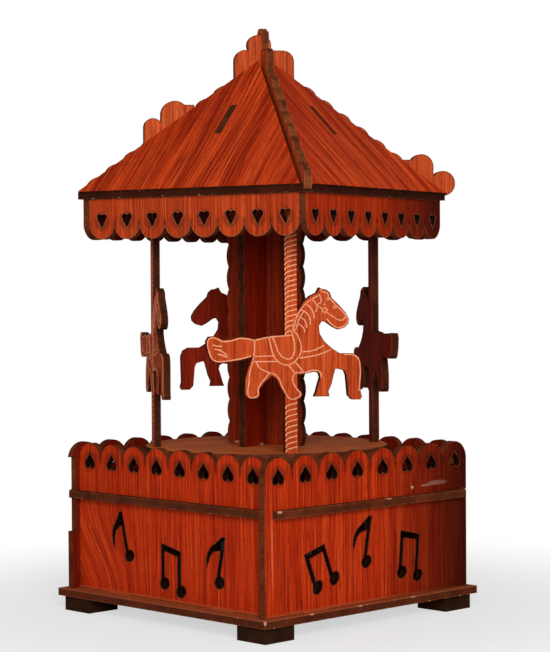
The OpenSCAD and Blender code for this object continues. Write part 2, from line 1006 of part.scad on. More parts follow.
module roof_rafters() {
    under = board_t / cos(roof_pitch);
    fall = roof_rise / roof_run;
    foot_r = roof_run - (under + 4) / fall;
    color(wood_edge)
        turned()
            for (turn = [0:90:270])
                rotate([0, 0, turn])
                    translate([0, 0, eave_z]) {
                        translate([board_t / 2, 0, 0])
                            rotate([90, 0, -90])
                                linear_extrude(board_t)
                                    union() {
                                        polygon([[rafter_in, 0], [foot_r, 0], [foot_r, 4],
                                            [rafter_in, roof_rise - under - rafter_in * fall]]);
                                        translate([rafter_tab[0], -board_t])
                                            square([rafter_tab[1] - rafter_tab[0], board_t + 0.01]);
                                    }
                        on_slope()
                            translate([-board_t / 2, slope_at(roof_slot[1]) + fit_gap, -board_t - 0.5])
                                cube([board_t,
                                    slope_at(roof_slot[0]) - slope_at(roof_slot[1]) - 2 * fit_gap,
                                    board_t + 0.5]);
                    }
}

function hip_line(r) = roof_rise * (1 - r / hip_run);

// small scallops that climb one side of a hip board, their tops so far over the hip line
module hip_ripples(top) {
    len = norm([hip_run, roof_rise]);
    ripple_r = 6;
    for (s = [hip_pitch:hip_pitch:80])
        translate([hip_run * (1 - s / len), roof_rise * s / len])
            rotate(90 - hip_pitch_angle)
                translate([top - ripple_r, 0])
                    circle(ripple_r);
}

// two rounded lobes; the eaves pair curls down over the plate's corner
module eave_scroll() {
    translate([hip_run - 20.5, 0])
        square([9, 13.6]);
    translate([hip_run - 12.5, 10.8])
        circle(5.1);
    translate([hip_run - 16.9, 0])
        square([9.5, 10.8]);
    translate([hip_run - 3.3, 4])
        circle(5.1);
}

module slope_scroll() {
    translate([slope_scroll_r, hip_line(slope_scroll_r)]) {
        translate([-7.8, -9])
            square([7, 14.3]);
        translate([0, 1.2])
            circle(5.6);
        translate([-5, -12])
            square([10.6, 13.2]);
        translate([8.8, -3.9])
            circle(3.7);
        translate([4, -13.7])
            square([8.5, 9.8]);
    }
}

// the rounded block at the top, with a shoulder on each side
module finial(step) {
    shoulder_r = 4.5;
    shoulder_z = roof_rise + 1;
    crown_rad = 4;
    crown_base = finial_z + step - crown_rad;
    for (side = [-12.5, 12])
        translate([side - sign(side) * shoulder_r, shoulder_z - shoulder_r])
            circle(shoulder_r);
    translate([-8, shoulder_z - 13])
        square([15.5, 13]);
    translate([-12.5, shoulder_z - 15])
        square([24.5, 10.5]);
    for (x = [finial_x[0] + crown_rad, finial_x[1] - crown_rad])
        translate([x, crown_base])
            circle(crown_rad);
    neck = shoulder_z - 7;
    translate([finial_x[0] + crown_rad, neck])
        square([finial_x[1] - finial_x[0] - 2 * crown_rad, finial_z + step - neck]);
    translate([finial_x[0] + 0.6, neck])
        square([finial_x[1] - finial_x[0] - 1.2, crown_base - neck]);
}

// a hip board seen square on, without its ends
module hip_outline(step) {
    top = hip_proud + step * cos(hip_pitch_angle);
    valley = top - 1.5;
    foot_r = hip_run + valley / sin(hip_pitch_angle);
    end_r = plate_diag - 2.2;
    intersection() {
        translate([-end_r, 0])
            square([2 * end_r, 2 * roof_rise]);
        union() {
            polygon([[-foot_r, 0], [foot_r, 0], [0, foot_r * tan(hip_pitch_angle)]]);
            hip_ripples(top);
            mirror([1, 0])
                hip_ripples(top);
        }
    }
    finial(step);
    for (side = [-1, 1])
        translate([side * (hip_tab[0] + hip_tab[1]) / 2 - (hip_tab[1] - hip_tab[0]) / 2, -board_t])
            square([hip_tab[1] - hip_tab[0], board_t + 0.01]);
}

// the right-left board has the eaves scroll on +x and the other scroll on -x
module scrolled_hip() {
    hip_outline(0);
    eave_scroll();
    mirror([1, 0])
        slope_scroll();
}

// the near-far board ends in a plain rounded nose at each corner
module plain_hip() {
    nose_r = 4.5;
    hip_outline(hip_step);
    for (side = [-1, 1])
        translate([side * (plate_diag + 1.5 - nose_r), 1.3])
            circle(nose_r);
}

// stands a hip board up; nothing of it goes below the plate's top inside the corners
module hip_board(turn, slot_z, slot_h) {
    corner_l = 8;
    color(wood)
        turned()
            rotate([0, 0, turn])
                translate([0, board_t / 2, eave_z])
                    rotate([90, 0, 0])
                        linear_extrude(board_t)
                            difference() {
                                children();
                                for (side = [-1, 1])
                                    translate([side * (plate_diag + fit_gap - corner_l / 2), -5])
                                        square([corner_l, 10], center = true);
                                translate([-slot_w / 2, slot_z])
                                    square([slot_w, slot_h]);
                            }
}

module hip_board_a() {
    hip_board(45, -1, roof_rise / 2 + 1)
        scrolled_hip();
}

module hip_board_b() {
    hip_board(-45, roof_rise / 2, finial_z)
        plain_hip();
}

// ---- wheels of the movement ---------------------------------------------

module pinned_drum() {
    color(brass)
        difference() {
            union() {
                translate([drum_x, 0, drum_z])
                    rotate([0, 90, 0])
                        cylinder(r = drum_r, h = drum_l);
                for (i = [0:pins - 1])
                    translate([drum_x + 0.6 + (i % notes + 0.5) * note_pitch, 0, drum_z])
                        rotate([i * 137.5, 0, 0])
                            cylinder(r = 0.25, h = drum_r + pin_h, $fn = 16);
            }
            translate([drum_x - 1, 0, drum_z])
                rotate([0, 90, 0])
                    cylinder(r = 1.22, h = drum_l + 2);
        }
}

module drum_arbor() {
    start = drum_x - 7.5;
    color(steel)
        translate([start, 0, drum_z])
            rotate([0, 90, 0])
                cylinder(r = 1.2, h = drum_bearing[1] + bearing_t + 0.6 - start);
}

module drum_pinion() {
    color(brass)
        across(crown_r - 0.8, 0, 1.6)
            difference() {
                gear_outline(pinion_teeth, crown_module);
                circle(1.22);
            }
}

module drum_gear() {
    color(brass)
        across(train_x, 0, train_face)
            difference() {
                gear_outline(train_teeth, train_module);
                circle(1.22);
            }
}

module idler_arbor() {
    color(steel)
        translate([ear_x[0] - 0.5, idler_y, drum_z])
            rotate([0, 90, 0])
                cylinder(r = 1, h = ear_x[1] - ear_x[0] + bearing_t + 1);
}

module idler_pinion() {
    color(brass)
        across(train_x, idler_y, train_face)
            difference() {
                gear_outline(idler_teeth, train_module, phase = 0.5);
                circle(1.02);
            }
}

module worm_wheel() {
    color(brass)
        across(worm_x - 0.6, idler_y, 1.2)
            difference() {
                gear_outline(worm_wheel_teeth, worm_module, play = 0.3);
                circle(1.02);
            }
}

// the radius of the worm at a phase of its thread, from 0 at the crest
function worm_profile(phase) =
    let (away = min(phase, 360 - phase) / 360 * worm_lead,
        crest = worm_lead / 4 - 0.1 - gear_add * tan(20),
        out = (away - crest) / tan(20))
    worm_r + gear_add - min(max(out, 0), gear_add + 0.5);

module governor_worm() {
    half = worm_turns * worm_lead;
    start = -90 - 180 - 360 * worm_turns;
    color(steel)
        translate([worm_x, worm_y, drum_z]) {
            translate([0, 0, -half])
                rotate([0, 0, start])
                    linear_extrude(2 * half, twist = -720 * worm_turns, slices = 48)
                        polygon([for (a = [0:22.5:337.5]) worm_profile(a) * [cos(a), sin(a)]]);
            translate([0, 0, -10.9])
                cylinder(r = 0.8, h = 31);
        }
}

module air_brake() {
    color(brass)
        translate([worm_x, worm_y, drum_z + 9.6])
            difference() {
                union() {
                    cylinder(r = 1.8, h = 10);
                    translate([-fan_r, -0.3, 1])
                        cube([2 * fan_r, 0.6, 8]);
                }
                translate([0, 0, -1])
                    cylinder(r = 0.82, h = 12);
            }
}

module winding_arbor() {
    color(steel)
        translate([0, 0, key_z]) {
            cylinder(r = arbor_r, h = crown_z - 0.6 - key_z);
            translate([0, 0, bed_top + move_gap - key_z])
                cylinder(r = 4.5, h = barrel_z - bed_top - 2 * move_gap);
        }
}

module winding_key() {
    color(brass)
        translate([0, 0, key_z])
            difference() {
                union() {
                    cylinder(r = arbor_r + 1.6, h = key_h);
                    for (side = [-1, 1])
                        translate([side * (key_half - key_h / 2), 0.7, key_h / 2])
                            rotate([90, 0, 0])
                                cylinder(r = key_h / 2, h = 1.4);
                    translate([-key_half + key_h / 2, -0.7, 0])
                        cube([2 * key_half - key_h, 1.4, key_h]);
                }
                translate([0, 0, -1])
                    cylinder(r = arbor_r + 0.02, h = key_h + 2);
            }
}

base_plate();
corner_feet();
panel_front();
panel_right();
panel_back();
panel_left();
trim_front();
trim_right();
trim_back();
trim_left();
movement_bedplate();
bedplate_screws();
bridge_pillars();
top_bridge();
bridge_screws();
comb_block();
tone_comb();
comb_screws();
drum_bearings();
governor_frame();
spring_barrel();
mainspring();
crown_wheel();
output_shaft();
turntable_hub();
hub_screws();
turntable_disc();
column_board_a();
column_board_b();
horse_front();
horse_right();
horse_back();
horse_left();
roof_plate();
valance_front();
valance_right();
valance_back();
valance_left();
roof_panel_front();
roof_panel_right();
roof_panel_back();
roof_panel_left();
hip_board_a();
hip_board_b();
roof_rafters();
pinned_drum();
drum_arbor();
drum_pinion();
drum_gear();
idler_arbor();
idler_pinion();
worm_wheel();
governor_worm();
air_brake();
winding_arbor();
winding_key();
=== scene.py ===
# %% [markdown]
# # A carousel music box in cut and engraved board
# The object is a wooden box with a wind-up music movement inside, and a small
# roofed carousel with four horses that turns on top of it. The solid parts come
# from the CAD frame. In this lesson they get their finishes, and the fine things
# a laser leaves behind are added: scorched rims, engraved lines and twisted poles.

# %% The frame
import bmesh
import bpy
import json
import math
from mathutils import Matrix, Vector


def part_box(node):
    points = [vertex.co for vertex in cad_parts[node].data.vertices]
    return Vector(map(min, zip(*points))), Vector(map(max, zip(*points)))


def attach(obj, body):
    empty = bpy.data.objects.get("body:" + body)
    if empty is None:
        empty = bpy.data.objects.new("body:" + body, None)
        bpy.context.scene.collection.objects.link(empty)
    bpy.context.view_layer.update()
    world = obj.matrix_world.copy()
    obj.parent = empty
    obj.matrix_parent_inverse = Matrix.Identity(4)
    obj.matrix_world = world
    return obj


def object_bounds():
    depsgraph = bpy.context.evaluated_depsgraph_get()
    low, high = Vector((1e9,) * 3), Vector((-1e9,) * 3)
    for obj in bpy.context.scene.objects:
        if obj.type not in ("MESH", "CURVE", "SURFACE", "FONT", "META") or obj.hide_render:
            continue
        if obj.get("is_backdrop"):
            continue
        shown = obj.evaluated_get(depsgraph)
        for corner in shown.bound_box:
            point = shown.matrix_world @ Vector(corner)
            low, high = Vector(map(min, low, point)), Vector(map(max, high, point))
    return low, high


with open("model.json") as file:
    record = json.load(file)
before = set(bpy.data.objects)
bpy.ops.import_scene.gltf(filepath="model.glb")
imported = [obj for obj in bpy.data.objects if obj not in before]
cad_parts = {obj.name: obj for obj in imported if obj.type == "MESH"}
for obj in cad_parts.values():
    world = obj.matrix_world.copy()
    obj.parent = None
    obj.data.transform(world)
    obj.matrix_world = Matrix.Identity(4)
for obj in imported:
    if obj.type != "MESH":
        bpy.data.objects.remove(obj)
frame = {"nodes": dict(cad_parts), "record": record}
cad_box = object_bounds()
MM = 0.001
print("the model stands", round(cad_box[1].z / MM, 1), "mm tall")

# %% [markdown]
# ## Knowing where each board lies
# A board has a show face, a grain direction and a middle plane. Its directions
# follow from how it is built in, and its middle plane is measured on its own
# mesh, so nothing has to be placed by eye.

# %% Measuring a board
UP, RIGHT = Vector((0, 0, 1)), Vector((1, 0, 0))
TURN = math.radians(12.5)  # how far the carousel has turned at rest


def round_axis(degrees, turned=True):
    """A level direction at so many degrees from +X, on the turned carousel or the box."""
    angle = math.radians(degrees) + (TURN if turned else 0)
    return Vector((math.cos(angle), math.sin(angle), 0))


def reach(node, direction):
    """How far a CAD node goes along a direction, lowest and highest, in metres."""
    along = [v.co.dot(direction) for v in frame["nodes"][node].data.vertices]
    return min(along), max(along)


class Board:
    """The directions of a board: across, grain (up the board) and out of its show face."""

    def __init__(self, node, face, grain=UP):
        self.node, self.face, self.grain = node, face.normalized(), grain.normalized()
        self.across = self.grain.cross(self.face).normalized()
        low, high = reach(node, self.face)
        self.middle, self.half = (low + high) / 2, (high - low) / 2
        self.foot, self.head = reach(node, self.grain)

    def width_near(self, level):
        """How wide the board is around a level, from its own vertices."""
        along = [v.co.dot(self.across) for v in frame["nodes"][self.node].data.vertices
                 if abs(v.co.dot(self.grain) - level) < 2.5 * MM]
        return max(along) - min(along)


SIDES = {"front": -90, "right": 0, "back": 90, "left": 180}
boards = {}
for side, degrees in SIDES.items():
    boards["panel_" + side] = Board("panel_" + side, round_axis(degrees, turned=False))
    boards["valance_" + side] = Board("valance_" + side, round_axis(degrees))
table_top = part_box("turntable_disc")[1].z
print("front panel:", round(boards["panel_front"].half * 2 / MM, 2), "mm thick")
print("the turntable's top is", round(table_top / MM, 1), "mm up")

# %% [markdown]
# The roof panels lie on the slope, so their show face looks up and out, and their
# grain climbs towards the point. Columns, horses and hip boards stand upright in
# the carousel. These directions could be read off each mesh, but every board stands
# at a multiple of 45 degrees round the spindle, so one angle says it all.

# %% The carousel's boards
ROOF_PITCH = math.radians(45.6)  # how steeply the roof rises
for side, degrees in SIDES.items():
    outwards = round_axis(degrees)
    slope_face = outwards * math.sin(ROOF_PITCH) + UP * math.cos(ROOF_PITCH)
    slope_up = UP * math.sin(ROOF_PITCH) - outwards * math.cos(ROOF_PITCH)
    boards["roof_panel_" + side] = Board("roof_panel_" + side, slope_face, slope_up)
HORSES = {"front": -45, "right": 45, "back": 135, "left": -135}
for side, degrees in HORSES.items():
    boards["horse_" + side] = Board("horse_" + side, round_axis(degrees))
boards["column_board_a"] = Board("column_board_a", round_axis(-90))
boards["column_board_b"] = Board("column_board_b", round_axis(0))
boards["hip_board_a"] = Board("hip_board_a", round_axis(-45))
boards["hip_board_b"] = Board("hip_board_b", round_axis(-135))
thick = boards["roof_panel_front"].half * 2 / MM
print(len(boards), "boards; measured on its slope, a roof panel is", round(thick, 2), "mm thick")

# %% [markdown]
# ## Writing a finish
# A Blender material is a tree of small nodes. Wiring them one by one is slow to
# read, so a small class wraps a socket and lets sums be written as sums. Every
# other node comes from one method, which takes its type, settings and sockets.

# %% Sums on sockets
class Wire:
    """One output socket of a finish, on which sums can be written."""

    def __init__(self, finish, socket):
        self.finish, self.socket = finish, socket

    def sum(self, operation, first, second=0.0):
        return self.finish.node("ShaderNodeMath", {"operation": operation}, {0: first, 1: second})

    def __add__(self, other):
        return self.sum("ADD", self, other)

    def __radd__(self, other):
        return self.sum("ADD", other, self)

    def __sub__(self, other):
        return self.sum("SUBTRACT", self, other)

    def __rsub__(self, other):
        return self.sum("SUBTRACT", other, self)

    def __mul__(self, other):
        return self.sum("MULTIPLY", self, other)

    def __rmul__(self, other):
        return self.sum("MULTIPLY", other, self)

    def __truediv__(self, other):
        return self.sum("DIVIDE", self, other)

    def __rtruediv__(self, other):
        return self.sum("DIVIDE", other, self)

    def __pow__(self, other):
        return self.sum("POWER", self, other)

    def __rpow__(self, other):
        return self.sum("POWER", other, self)

    def __abs__(self):
        return self.sum("ABSOLUTE", self)

    def least(self, other):
        return self.sum("MINIMUM", self, other)

    def most(self, other):
        return self.sum("MAXIMUM", self, other)


operators = [name.strip("_") for name in vars(Wire) if callable(getattr(Wire, name))]
print("a wire knows:", ", ".join(operators[2:]))

# %% [markdown]
# A finish starts from the Principled shader. `step` makes a soft threshold, `blend`
# mixes two colours by a mask, and `noise` gives one grey value of a noise pattern.
# Colours could be given in linear light, but a paint chart is easier to match by
# eye, so `paint` takes the chart's numbers and converts them.

# %% The finish class
def paint(red, green, blue):
    """A colour written 0 to 255 as on a paint chart, turned into linear light."""
    def linear(value):
        value /= 255
        return value / 12.92 if value <= 0.04045 else ((value + 0.055) / 1.055) ** 2.4
    return linear(red), linear(green), linear(blue), 1.0


class Finish:
    """A material under construction, with its Principled shader ready."""

    def __init__(self, name):
        self.material = bpy.data.materials.new(name)
        self.material.use_nodes = True
        self.tree = self.material.node_tree
        self.tree.nodes.clear()
        self.shader = self.tree.nodes.new("ShaderNodeBsdfPrincipled")
        output = self.tree.nodes.new("ShaderNodeOutputMaterial")
        self.tree.links.new(self.shader.outputs[0], output.inputs[0])

    def node(self, kind, settings=None, sockets=None, out=0):
        made = self.tree.nodes.new(kind)
        for key, value in (settings or {}).items():
            setattr(made, key, value)
        for key, value in (sockets or {}).items():
            self.put(made.inputs[key], value)
        return Wire(self, made.outputs[out])

    def put(self, socket, value):
        if isinstance(value, Wire):
            self.tree.links.new(value.socket, socket)
        else:
            socket.default_value = value

    def set(self, **values):
        for key, value in values.items():
            self.put(self.shader.inputs[key.replace("_", " ")], value)
        return self.material

    def along(self, place, direction):
        """How far a place lies along a direction."""
        return self.node("ShaderNodeVectorMath", {"operation": "DOT_PRODUCT"},
                         {0: place, 1: tuple(direction)}, out=1)

    def vector(self, x, y, z):
        return self.node("ShaderNodeCombineXYZ", None, {0: x, 1: y, 2: z})

    def noise(self, place, scale, detail, rough=0.5):
        return self.node("ShaderNodeTexNoise", None,
                         {"Vector": place, "Scale": scale, "Detail": detail, "Roughness": rough})

    def step(self, value, low, high):
        return self.node("ShaderNodeMapRange", {"interpolation_type": "SMOOTHSTEP"},
                         {"Value": value, "From Min": low, "From Max": high})

    def blend(self, mask, one, other):
        return self.node("ShaderNodeMix", {"data_type": "RGBA"}, {0: mask, 6: one, 7: other}, out=2)

    def bump(self, height, strength, depth):
        return self.node("ShaderNodeBump", None,
                         {"Height": height, "Strength": strength, "Distance": depth})

    def place(self):
        """The object's own coordinates, in millimetres."""
        found = self.node("ShaderNodeTexCoord", None, None, out=3)
        return self.node("ShaderNodeVectorMath", {"operation": "SCALE"}, {0: found, "Scale": 1 / MM})


print("the middle of the chart is", round(paint(128, 128, 128)[0], 3), "in linear light")

# %% [markdown]
# ## Fibreboard
# Under the veneer is brown fibreboard. It shows at every cut edge, and the base
# plate, the trims, the feet and the roof plate are bare. It is a matt, mottled
# brown, and a laser leaves fine stripes through its thickness on a cut edge. A
# picture of board could be wrapped round each piece. Noise on the object's own
# coordinates needs no unwrapping and runs on round every corner, so it is used here.

# %% The fibreboard finish
CORE_DARK, CORE_LIGHT = paint(54, 22, 10), paint(108, 52, 26)
BOARD_SHINE = 0.05  # board hardly shines
GRAIN_DEPTH, GRIT_DEPTH = 0.05 * MM, 0.03 * MM  # how deep a bump may look


def core_colour(f, p, dark=CORE_DARK, light=CORE_LIGHT):
    """The mottled brown of fibreboard, from soft clouds and a fine fleck."""
    clouds = f.noise(p, 0.12, 3.0, 0.6)
    fleck = f.noise(p, 2.5, 2.0, 0.7)
    return f.blend(f.step(clouds * 0.65 + fleck * 0.35, 0.3, 0.7), dark, light)


print("light fibreboard is", round(CORE_LIGHT[0] / CORE_DARK[0], 1), "times as red as dark")

# %% [markdown]
# ## Stains, marks and painted light
# A board that was cut by a laser and glued by hand is never one clean colour. Walls
# of small openings stay black, and smoke makes the veneer dusky. A panel's foot is
# painted lighter, as painted light, and the far end of the right-hand boards is
# painted darker, as painted shade. Here and there a smear of glue or a chip shows.
# Marks could be painted by hand, but a ragged spot in the material can be moved by
# one number, so each is given by its centre and half sizes in millimetres and its colour.

# %% Stains, marks and painted light
# The second colour is smoke in the valleys and also painted shade at the far end of the right-hand boards.
# The last is painted light at a panel's foot.
SOOT, SMOKE_AND_SHADE, BISTRE, FOOT_PAINTED_LIGHT = paint(20, 11, 8), paint(40, 6, 2), paint(84, 30, 14), paint(158, 70, 36)
GLUE, CHIP, ARRIS = paint(206, 142, 118), paint(232, 206, 178), paint(186, 104, 66)
side_face, trim_face, base_edge = (reach(node, RIGHT)[1] / MM
                                   for node in ("panel_right", "trim_right", "base_plate"))
base_top, trim_top, column_foot = (level / MM for level in (reach("base_plate", UP)[1],
                                                            reach("trim_right", UP)[1], table_top))
MARKS = {
    "panel_right": [((side_face, 32.5, trim_top + 3.1), (1, 3.4, 0.45), GLUE),
                    ((side_face, 39.5, trim_top + 3.7), (1, 5.6, 0.95), GLUE),
                    ((side_face, 24.2, trim_top + 2.9), (1, 0.7, 0.6), CHIP),
                    ((side_face, -53.3, 33), (0.5, 0.3, 13), ARRIS)],
    "trim_right": [((trim_face, -52, trim_top - 0.1), (1.5, 1.1, 0.8), GLUE),
                   ((trim_face - 0.5, 7.5, trim_top), (1.2, 1.7, 0.35), GLUE)],
    "base_plate": [((base_edge, -base_edge, base_top - 0.6), (0.7, 0.7, 0.9), GLUE),
                   ((base_edge, -35.6, base_top), (0.6, 1.2, 0.6), GLUE),
                   ((base_edge, -8.9, base_top), (0.6, 1.0, 0.5), GLUE),
                   ((base_edge, 21, base_top), (0.5, 1.6, 0.4), GLUE)],
    "column_board_a": [((-12, -3.4, column_foot + 0.5), (2.6, 1.6, 0.7), GLUE)],
    "column_board_b": [((1.8, -6.5, column_foot + 0.5), (1.2, 2.6, 1.0), CHIP)],
}


def marked(f, node, colour):
    """Lays the ragged marks of glue and chips of one node over its colour."""
    p = f.place()
    ragged = f.noise(p, 1.1, 3.0, 0.7)
    for centre, size, tint in MARKS.get(node, ()):
        away = f.node("ShaderNodeVectorMath", {"operation": "SUBTRACT"}, {0: p, 1: centre})
        scaled = f.node("ShaderNodeVectorMath", {"operation": "DIVIDE"}, {0: away, 1: size})
        far = f.node("ShaderNodeVectorMath", {"operation": "LENGTH"}, {0: scaled}, out=1)
        colour = f.blend(f.step(far + ragged * 1.2, 1.75, 1.35) * 0.85, colour, tint)
    return colour


print("marks of glue and chips:", sum(len(marks) for marks in MARKS.values()))

# %% [markdown]
# ## Veneer
# The veneer is an open-grained red-orange one. Real grain is long and thin, so the
# board's own across, grain and face directions are used: noise is squeezed across
# the board and stretched along it. Five layers make it: broad tone, pale streaks,
# long rings, fibres, and short dark pores. Near a face the skin hides the core, and
# between the two faces the core shows, so one finish serves a whole board, and no
# face has to be picked out by hand. `figure` bends the grain, `extra` stains the show
# face and paints light at a panel's foot, `shade` lays painted shade over part of
# the board, and `inside` finds the walls of openings.

# %% The veneer finish
VENEER_SKIN = 0.28  # thickness of the skin, in millimetres
VENEER_SHINE = 0.03


def grain(f, u, v, seed, figure=None):
    """The masks of a veneer's five layers: tone, streak, ring, fibre and pore."""
    wander = f.noise(f.vector(u / 15, v / 70, seed), 1.0, 1.0) * 5
    across = u + wander
    if figure:
        across = across + figure(f, u, v)
    tone = f.noise(f.vector(across / 8, v / 110, seed + 3), 1.0, 2.0, 0.6)
    rings = f.noise(f.vector(across / 2.2, v / 130, seed + 7), 1.0, 2.0, 0.55)
    fibres = f.noise(f.vector(across * 1.4, v / 42, seed + 11), 1.0, 2.0, 0.65)
    streaks = f.noise(f.vector(across * 1.2, v / 60, seed + 15), 1.0, 2.0, 0.6)
    pores = f.noise(f.vector(across * 2.8, v / 5, seed + 19), 1.0, 2.0, 0.65)
    ring = f.step(abs(rings - 0.5), 0.07, 0.0)
    return tone, f.step(streaks, 0.5, 0.62), ring, f.step(fibres, 0.49, 0.62), f.step(pores, 0.54, 0.68)


def veneered(board, tones, back_tones=None, seed=0.0, bands=0.5, figure=None, shade=None,
             inside=None, extra=None, fibreboard=(CORE_DARK, CORE_LIGHT)):
    """A finish for one veneered board. tones are its streak, body, band and pore colours."""
    f = Finish("veneer_" + board.node)
    p = f.place()
    u, v = f.along(p, board.across), f.along(p, board.grain)
    depth = f.along(p, board.face) - board.middle / MM
    tone, streak, ring, fibre, pore = grain(f, u, v, seed, figure)

    def skin(light, body, band, dark):
        colour = f.blend(f.step(tone, 0.36, 0.64) * bands, body, band)
        layers = ((streak, 0.5, light), (ring, 0.5, band), (fibre, 0.6, dark), (pore, 0.6, dark))
        for mask, strength, tint in layers:
            colour = f.blend(mask * strength, colour, tint)
        return colour

    show = skin(*tones)
    if extra:
        show = extra(f, u, v, show)
    show = marked(f, board.node, show)
    if back_tones:
        show = f.blend(f.step(depth, -0.2, 0.2), skin(*back_tones), show)
    # shade lays painted shade over part of the board.
    if shade:
        show = f.blend(shade(f, u, v), show, SMOKE_AND_SHADE)
    skin_foot = board.half / MM - VENEER_SKIN
    covered = f.step(abs(depth), skin_foot, skin_foot + 0.1)
    stripes = f.noise(f.vector(u * 2.2, v * 2.2, seed), 1.0, 1.0)
    core = f.blend(f.step(stripes, 0.4, 0.75) * 0.5, core_colour(f, p, *fibreboard), fibreboard[0])
    if inside:
        core = f.blend(inside(f, u, v), core, SOOT)
    height = (1 - fibre * 0.5 - pore * 0.5) * covered
    f.set(Specular_IOR_Level=VENEER_SHINE)
    return f.set(Base_Color=f.blend(covered, core, show), Roughness=0.8 - 0.2 * covered - 0.1 * tone,
                 Normal=f.bump(height, 0.3, GRAIN_DEPTH))


core_thick = 2 * (boards["panel_front"].half / MM - VENEER_SKIN)
print("between its two skins, the front panel's core is", round(core_thick, 2), "mm thick")

# %% [markdown]
# The panels and the valances end in eight rounded tongues with a heart in each.
# Nobody wipes the inside of a heart or a note, so every cut wall that lies well
# inside the row of tongues is black. Smoke stains the veneer round the hearts and in
# the valley between two tongues. The tongues repeat at one pitch, so a formula on
# the board's own directions finds them all, and no list of hearts is needed.

# %% Sooty openings
SCALLOPS = 8
STANDING_HEART = (7.1, 3.0)  # from the scalloped edge to a heart's middle, and its half size
HANGING_HEART = (7.2, 2.7)
TAB_REACH = 3.0  # how far a panel's tabs reach down through the base plate


class Tongues:
    """The scalloped edge of a board, standing or hanging. Lengths are in millimetres."""

    def __init__(self, board, hanging=False):
        self.edge = (board.foot if hanging else board.head) / MM
        self.sign = -1 if hanging else 1
        self.foot = board.foot / MM + TAB_REACH
        self.width = board.width_near((self.edge - self.sign * 6.8) * MM) / MM
        self.pitch = self.width / SCALLOPS
        self.radius = self.pitch * 0.505
        self.heart_drop, self.heart_reach = HANGING_HEART if hanging else STANDING_HEART

    def lies(self, f, u, v):
        """How far in from the edge a point is, and how far sideways from its tongue's middle."""
        inwards = (self.edge - v) * self.sign
        sideways = f.node("ShaderNodeMath", {"operation": "FRACT"}, {0: u / self.pitch}) - 0.5
        return inwards, sideways * self.pitch

    def inside(self, f, u, v):
        """The mask of the cut walls that lie well inside the row of tongues."""
        inwards, sideways = self.lies(f, u, v)
        beyond = (self.radius - inwards).most(0)
        spread = (sideways * sideways + beyond * beyond) ** 0.5
        below = f.step(inwards, self.radius, self.radius + 0.4)
        within = f.step(spread, self.radius - 0.7, self.radius - 1.1)
        return below.most(within) * f.step(abs(u), self.width / 2 - 2.6, self.width / 2 - 3.2)

    def stain_and_foot_light(self, f, u, v, show):
        """Smoke round the hearts and in the valleys, and painted light at a panel's foot."""
        inwards, sideways = self.lies(f, u, v)
        off = inwards - self.heart_drop
        from_heart = (sideways * sideways + off * off) ** 0.5
        halo = f.step(from_heart, self.heart_reach + 1.5, self.heart_reach + 0.4)
        show = f.blend(halo * 0.55, show, BISTRE)
        # a lighter band just above the base plate is painted light.
        if self.sign > 0:
            show = f.blend(f.step(v, self.foot + 1.6, self.foot + 0.6) * 0.75, show, FOOT_PAINTED_LIGHT)
        valley = self.pitch / 2 - abs(sideways)
        smoke = f.step(valley, 1.3, 0.1) * f.step(inwards, self.radius + 3.0, self.radius - 1.2)
        return f.blend(smoke * 0.7, show, SMOKE_AND_SHADE)


print("the front panel's tongues are", round(Tongues(boards["panel_front"]).pitch, 2), "mm apart")

# %% [markdown]
# The box panels are the reddest boards. The front panel has a swirl at its lower
# left, where the tree's grain sweeps away from upright; `swirl` bends the grain
# there by an amount that grows downwards. Turning the noise would turn it all over
# the board, and this way the rest stays straight, as it is on the other panels.

# %% Finishing the box panels
RED = (paint(214, 80, 30), paint(184, 50, 13), paint(146, 29, 6), paint(92, 13, 3))
# The back faces are a red veneer painted dark, as painted shade.
BACK_FACE_SHADE = (paint(126, 30, 10), paint(110, 22, 6), paint(88, 15, 4), paint(56, 9, 3))


def swirl(f, u, v):
    """How far the grain is pushed aside at the lower left of the front panel."""
    fall = f.step(v, 56, 8)
    side = f.step(u, -8, -40)
    return fall * fall * side * -20


def far_end_painted_shade(f, u, v):
    """Painted shade: the far end of the right-hand boards is darker."""
    return ((u - 4) / 52).most(0).least(1) ** 0.8 * 0.95


def dress(node, material):
    """Gives a CAD node its one material."""
    mesh = frame["nodes"][node].data
    mesh.materials.clear()
    mesh.materials.append(material)


for number, side in enumerate(SIDES):
    node = "panel_" + side
    tongues = Tongues(boards[node])
    dress(node, veneered(boards[node], RED, BACK_FACE_SHADE, seed=4.0 * number, bands=0.6,
                         figure=swirl if side == "front" else None,
                         shade=far_end_painted_shade if side == "right" else None,
                         inside=tongues.inside, extra=tongues.stain_and_foot_light))
print("finished", len(SIDES), "box panels")

# %% [markdown]
# The roof panels have broad darker bands, the valances are a little more orange, the
# hip boards are lighter, and the column is a dark red, partly painted shade of the
# roof. The right-hand roof panel is painted lighter, as painted light, and the
# right-hand valance comes from a redder sheet. A horse's show face is orange, and the
# face towards the spindle is plain and painted dark, as painted shade. Four tones
# each, light to dark, are all that has to change from one kind of board to the next,
# so the same finish serves them all.

# %% Finishing the carousel's boards
ROOF = (paint(220, 88, 36), paint(194, 64, 22), paint(136, 30, 8), paint(88, 16, 4))
VALANCE = (paint(194, 82, 42), paint(168, 58, 22), paint(144, 42, 13), paint(98, 24, 7))
VALANCE_RED = (paint(196, 70, 26), paint(170, 46, 11), paint(142, 31, 6), paint(96, 16, 3))
HIP = (paint(204, 98, 50), paint(178, 72, 31), paint(154, 52, 20), paint(100, 30, 12))
